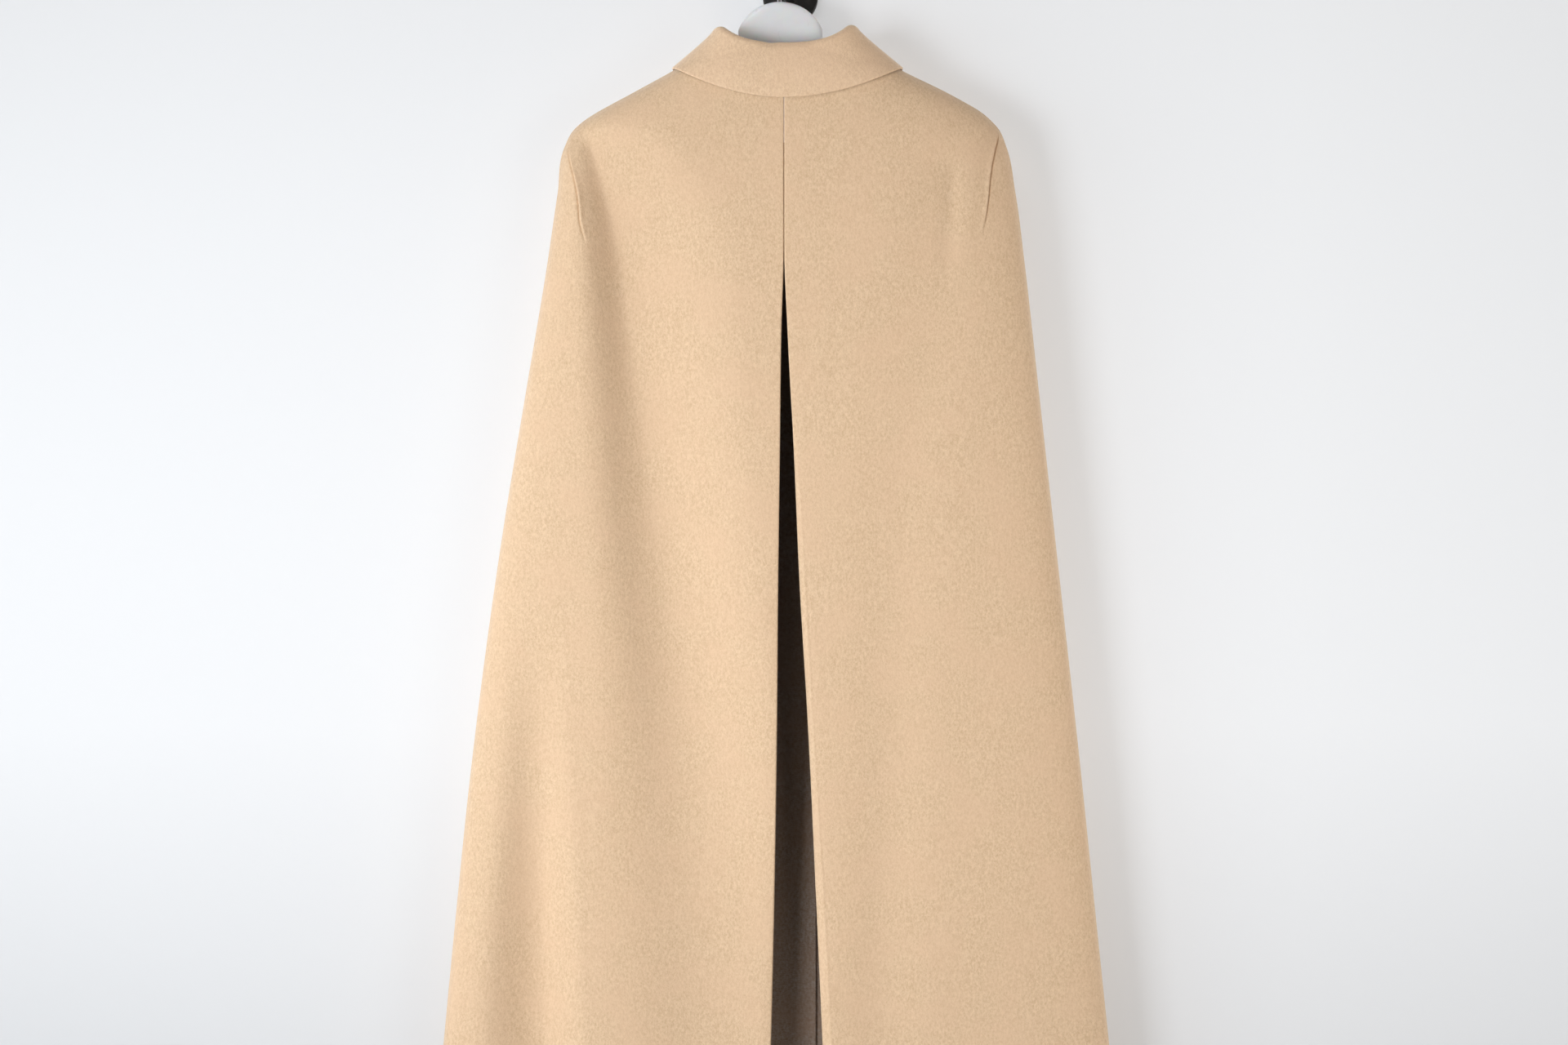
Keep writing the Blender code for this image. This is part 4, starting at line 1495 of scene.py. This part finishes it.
@dataclass
class WallHook:
    """A round plate on the wall with a peg and an end knob."""

    plate_radius: float = 27.3
    plate_thickness: float = 8.0
    plate_round: float = 2.0
    peg_radius: float = 6.0
    peg_length: float = 72.0
    fillet: float = 1.5
    knob_radius: float = 9.0
    knob_length: float = 8.0

    def build(self) -> Piece:
        """Build the hook."""
        face, corner = -self.plate_thickness, self.plate_round
        profile = [(self.plate_radius - 0.3, 0.0), (self.plate_radius, -0.3)]
        for turn in np.linspace(0.0, math.pi / 2, 9):
            reach = self.plate_radius - corner + corner * math.cos(turn)
            profile.append((reach, face + corner - corner * math.sin(turn)))
        for turn in np.linspace(0.0, math.pi / 2, 6):
            reach = self.peg_radius + self.fillet * (1.0 - math.sin(turn))
            profile.append((reach, face - self.fillet * (1.0 - math.cos(turn))))
        neck_end = -self.peg_length
        profile += [(self.peg_radius, y) for y in np.linspace(face - 4.0, neck_end + 0.6, 5)]
        for turn in np.linspace(math.radians(64), -math.radians(80), 18):
            along = neck_end - 0.5 * self.knob_length * (1.0 - math.sin(turn))
            profile.append((self.knob_radius * math.cos(turn * 0.8) ** 0.7, along))
        rings = turned(profile, (0.0, 0.0, 0.0), 96)
        body = ringed_body("wall_hook_body", rings, BLACK_ENAMEL.make())
        return seat(body, Slot.HOOK, "wall_hook")


@dataclass
class NeckButton:
    """A four-hole button at the neck, sewn on with a cross of thread."""

    drape: Drape
    drop: float = 172.0
    radius: float = 12.0
    thickness: float = 4.0
    air: float = 0.4
    rim: float = 2.6
    dish: float = 0.9
    hole_radius: float = 1.0
    hole_spread: float = 2.4
    thread_radius: float = 0.35

    def centre(self) -> Array:
        """The centre of the button's back."""
        under = self.drape.point(np.array(np.pi), np.array(self.drop))
        return np.array([self.drape.centre_x, float(under[1]) + self.air, -self.drop])

    def hole_places(self) -> list[tuple[float, float]]:
        """Where the four holes are, from the button's centre."""
        spread = self.hole_spread
        return [(spread * a, spread * b) for a in (-1, 1) for b in (-1, 1)]

    def build_disc(self) -> Piece:
        """Build the button with its rim and holes."""
        horn = POLISHED_HORN.make()
        top, wide = self.thickness, self.radius
        profile = [(0.01, top - self.dish), (wide - self.rim - 2.4, top - self.dish)]
        for turn in np.linspace(-math.pi / 2, math.pi / 2, 9):
            reach = wide - self.rim - 1.2 + 1.2 * math.sin(turn)
            profile.append((reach, top - 0.5 * self.dish + 0.5 * self.dish * math.sin(turn)))
        for turn in np.linspace(math.pi / 2, -math.pi / 2, 13):
            reach = wide - 1.6 + 1.6 * math.cos(turn)
            profile.append((reach, 0.5 * top + 0.5 * top * math.sin(turn)))
        profile.append((0.01, 0.0))
        rings = turned(profile, self.centre(), 64)
        disc = ringed_body("neck_button_disc", rings, horn)
        for x, z in self.hole_places():
            depth = 2.0 * self.thickness
            bore = [(self.hole_radius, -depth), (self.hole_radius, depth)]
            rings = turned(bore, self.centre() + np.array([x, 0.0, z]), 20)
            drill = ringed_body("drill", rings, horn)
            bored = disc.modifiers.new("hole", "BOOLEAN")
            bored.operation, bored.solver, bored.object = "DIFFERENCE", "EXACT", drill
            bpy.context.view_layer.update()
            depsgraph = bpy.context.evaluated_depsgraph_get()
            cut = bpy.data.meshes.new_from_object(disc.evaluated_get(depsgraph))
            disc.modifiers.clear()
            disc.data = cut
            bpy.data.objects.remove(drill)
        cut.set_sharp_from_angle(angle=math.radians(40.0))
        return seat(disc, Slot.HORN, "neck_button")

    def build_thread(self) -> Piece:
        """Build the two crossing bars of thread."""
        centre, spread = self.centre(), self.hole_spread
        face = self.thickness - self.dish
        rings, faces, first = [], [], 0
        for slant in (-1.0, 1.0):
            for aside in (-0.45, 0.0, 0.45):
                path = []
                for t in np.linspace(-1.0, 1.0, 15):
                    over = face + 0.5 + 0.55 * (1.0 - t * t) + 0.25 * (slant > 0) - 2.2 * t**10
                    x = spread * t + 0.7 * aside * slant
                    path.append((x, over, slant * spread * t - 0.7 * aside))
                ring = tube(np.array(path) + centre, self.thread_radius, 8)
                count, around = ring.shape[:2]
                faces += ring_faces(count, around, first)
                faces.append(tuple(range(first + around - 1, first - 1, -1)))
                first += count * around
                faces.append(tuple(range(first - around, first)))
                rings.append(ring.reshape(-1, 3))
        threads = [SEWING_THREAD.make()]
        piece = mesh_piece("neck_button_thread", np.concatenate(rings), faces, threads)
        return seat(piece, Slot.WOOL)


@dataclass(frozen=True)
class SoftLight:
    """A soft rectangular light: its place and size in metres, and its power in watts."""

    name: str
    place: Triple
    size: tuple[float, float]
    power: float
    tint: Triple
    fan: float = 180.0

    def add(self, aim: Triple) -> None:
        """Add the light.

        Args:
            aim: the place that it points at.
        """
        data = bpy.data.lights.new(self.name, "AREA")
        data.shape, data.size, data.size_y = "RECTANGLE", *self.size
        data.energy, data.color, data.spread = self.power, self.tint, math.radians(self.fan)
        made = stand(self.name, data)
        made.location = self.place
        made.rotation_mode = "QUATERNION"
        toward = Vector(aim) - Vector(self.place)
        made.rotation_quaternion = toward.to_track_quat("-Z", "Y")


LIGHTS = (
    SoftLight("key", (-1.73, -1.01, -0.5), (1.2, 1.0), 5.1, (0.93, 0.975, 1.0), 100.0),
    SoftLight("key_front", (-1.19, -2.0, -0.6), (0.8, 0.9), 10.7, (0.965, 0.982, 1.0), 110.0),
    SoftLight("top", (-0.5, -1.6, 1.1), (0.5, 0.4), 2.0, (1.0, 0.94, 0.87), 120.0),
    SoftLight("fill", (1.15, -2.0, -0.6), (0.9, 1.0), 3.25, (1.0, 0.925, 0.84), 110.0),
    SoftLight("side_fill", (2.7, -0.2, -0.55), (0.2, 1.4), 7.5, (1.0, 0.97, 0.92), 110.0),
    SoftLight("rear_key", (-1.9, 2.6, 0.5), (1.6, 1.6), 30.0, (1.0, 0.985, 0.965)),
    SoftLight("rear_fill", (2.2, 2.4, 0.2), (1.6, 1.6), 14.0, (1.0, 1.0, 1.0)),
)


@dataclass
class Studio:
    """The pale room, its lights and the camera."""

    floor_z: float = -1.72
    wall_y: float = 0.0008
    aim: Triple = (0.05, -0.06, -0.62)
    camera_place: Triple = (-0.0064, -3.105, -0.5196)
    lens: float = 72.0
    sensor: float = 36.0

    def plane(self, name: str, corners: Sequence[Sequence[float]], finish: StageFinish) -> None:
        """Add a flat piece of the room.

        Args:
            name: its name.
            corners: its four corners in metres.
            finish: its paint.
        """
        mesh = bpy.data.meshes.new(name)
        mesh.from_pydata([tuple(corner) for corner in corners], [], [(0, 1, 2, 3)])
        mesh.materials.append(finish.make())
        made = stand(name, mesh)
        made.visible_shadow = not finish.one_sided

    def build(self) -> None:
        """Set up the room, lights, world and camera."""
        scene = bpy.context.scene
        z = self.floor_z
        floor = [(-4, -5, z), (4, -5, z), (4, 4, z), (-4, 4, z)]
        self.plane("stage_floor", floor, StageFinish("stage_floor_paint", (0.78, 0.78, 0.77)))
        y = self.wall_y
        wall = [(-2.4, y, z), (2.4, y, z), (2.4, y, 0.9), (-2.4, y, 0.9)]
        # The wall's glow is painted light, brighter higher up and towards the right.
        paint = StageFinish("stage_wall_paint", (0.5, 0.515, 0.54), (0.24, 0.38, 0.08), True)
        self.plane("stage_wall", wall, paint)
        for light in LIGHTS:
            light.add(self.aim)
        world = bpy.data.worlds.new("pale_room")
        world.use_nodes = True
        background = world.node_tree.nodes["Background"]
        background.inputs["Color"].default_value = (1.0, 0.91, 0.82, 1.0)
        background.inputs["Strength"].default_value = 0.155
        scene.world = world
        scene.view_settings.view_transform = "Standard"
        camera = bpy.data.cameras.new("camera")
        camera.lens, camera.sensor_width = self.lens, self.sensor
        made = stand("camera", camera)
        made.location = self.camera_place
        made.rotation_euler = (math.pi / 2, 0.0, 0.0)
        scene.camera = made


def main() -> None:
    """Build every piece and the studio."""
    logging.basicConfig(level=logging.INFO, format="%(name)s %(message)s")
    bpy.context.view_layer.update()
    camel, lit_collar_camel, grey = (wool.make() for wool in (CAMEL, LIT_COLLAR_CAMEL, GREY))
    drape = Drape()
    wools = (camel, grey)
    back_area = {Side.LEFT: 0.319, Side.RIGHT: 0.291}
    front_area = {Side.LEFT: 0.368, Side.RIGHT: 0.358}
    for side in Side:
        BackPanel(drape, side, wools, flat=(0.40, 1.14), area=back_area[side]).build()
        FrontPanel(drape, side, wools, flat=(0.43, 1.12), area=front_area[side]).build()
    # The collar takes the lighter copy of the camel, which is painted light.
    Collar(drape, (lit_collar_camel, grey)).build()
    Hanger(drape).build()
    HangerWire().build()
    WallHook().build()
    button = NeckButton(drape)
    button.build_disc()
    button.build_thread()
    Studio().build()


if __name__ == "__main__":
    main()
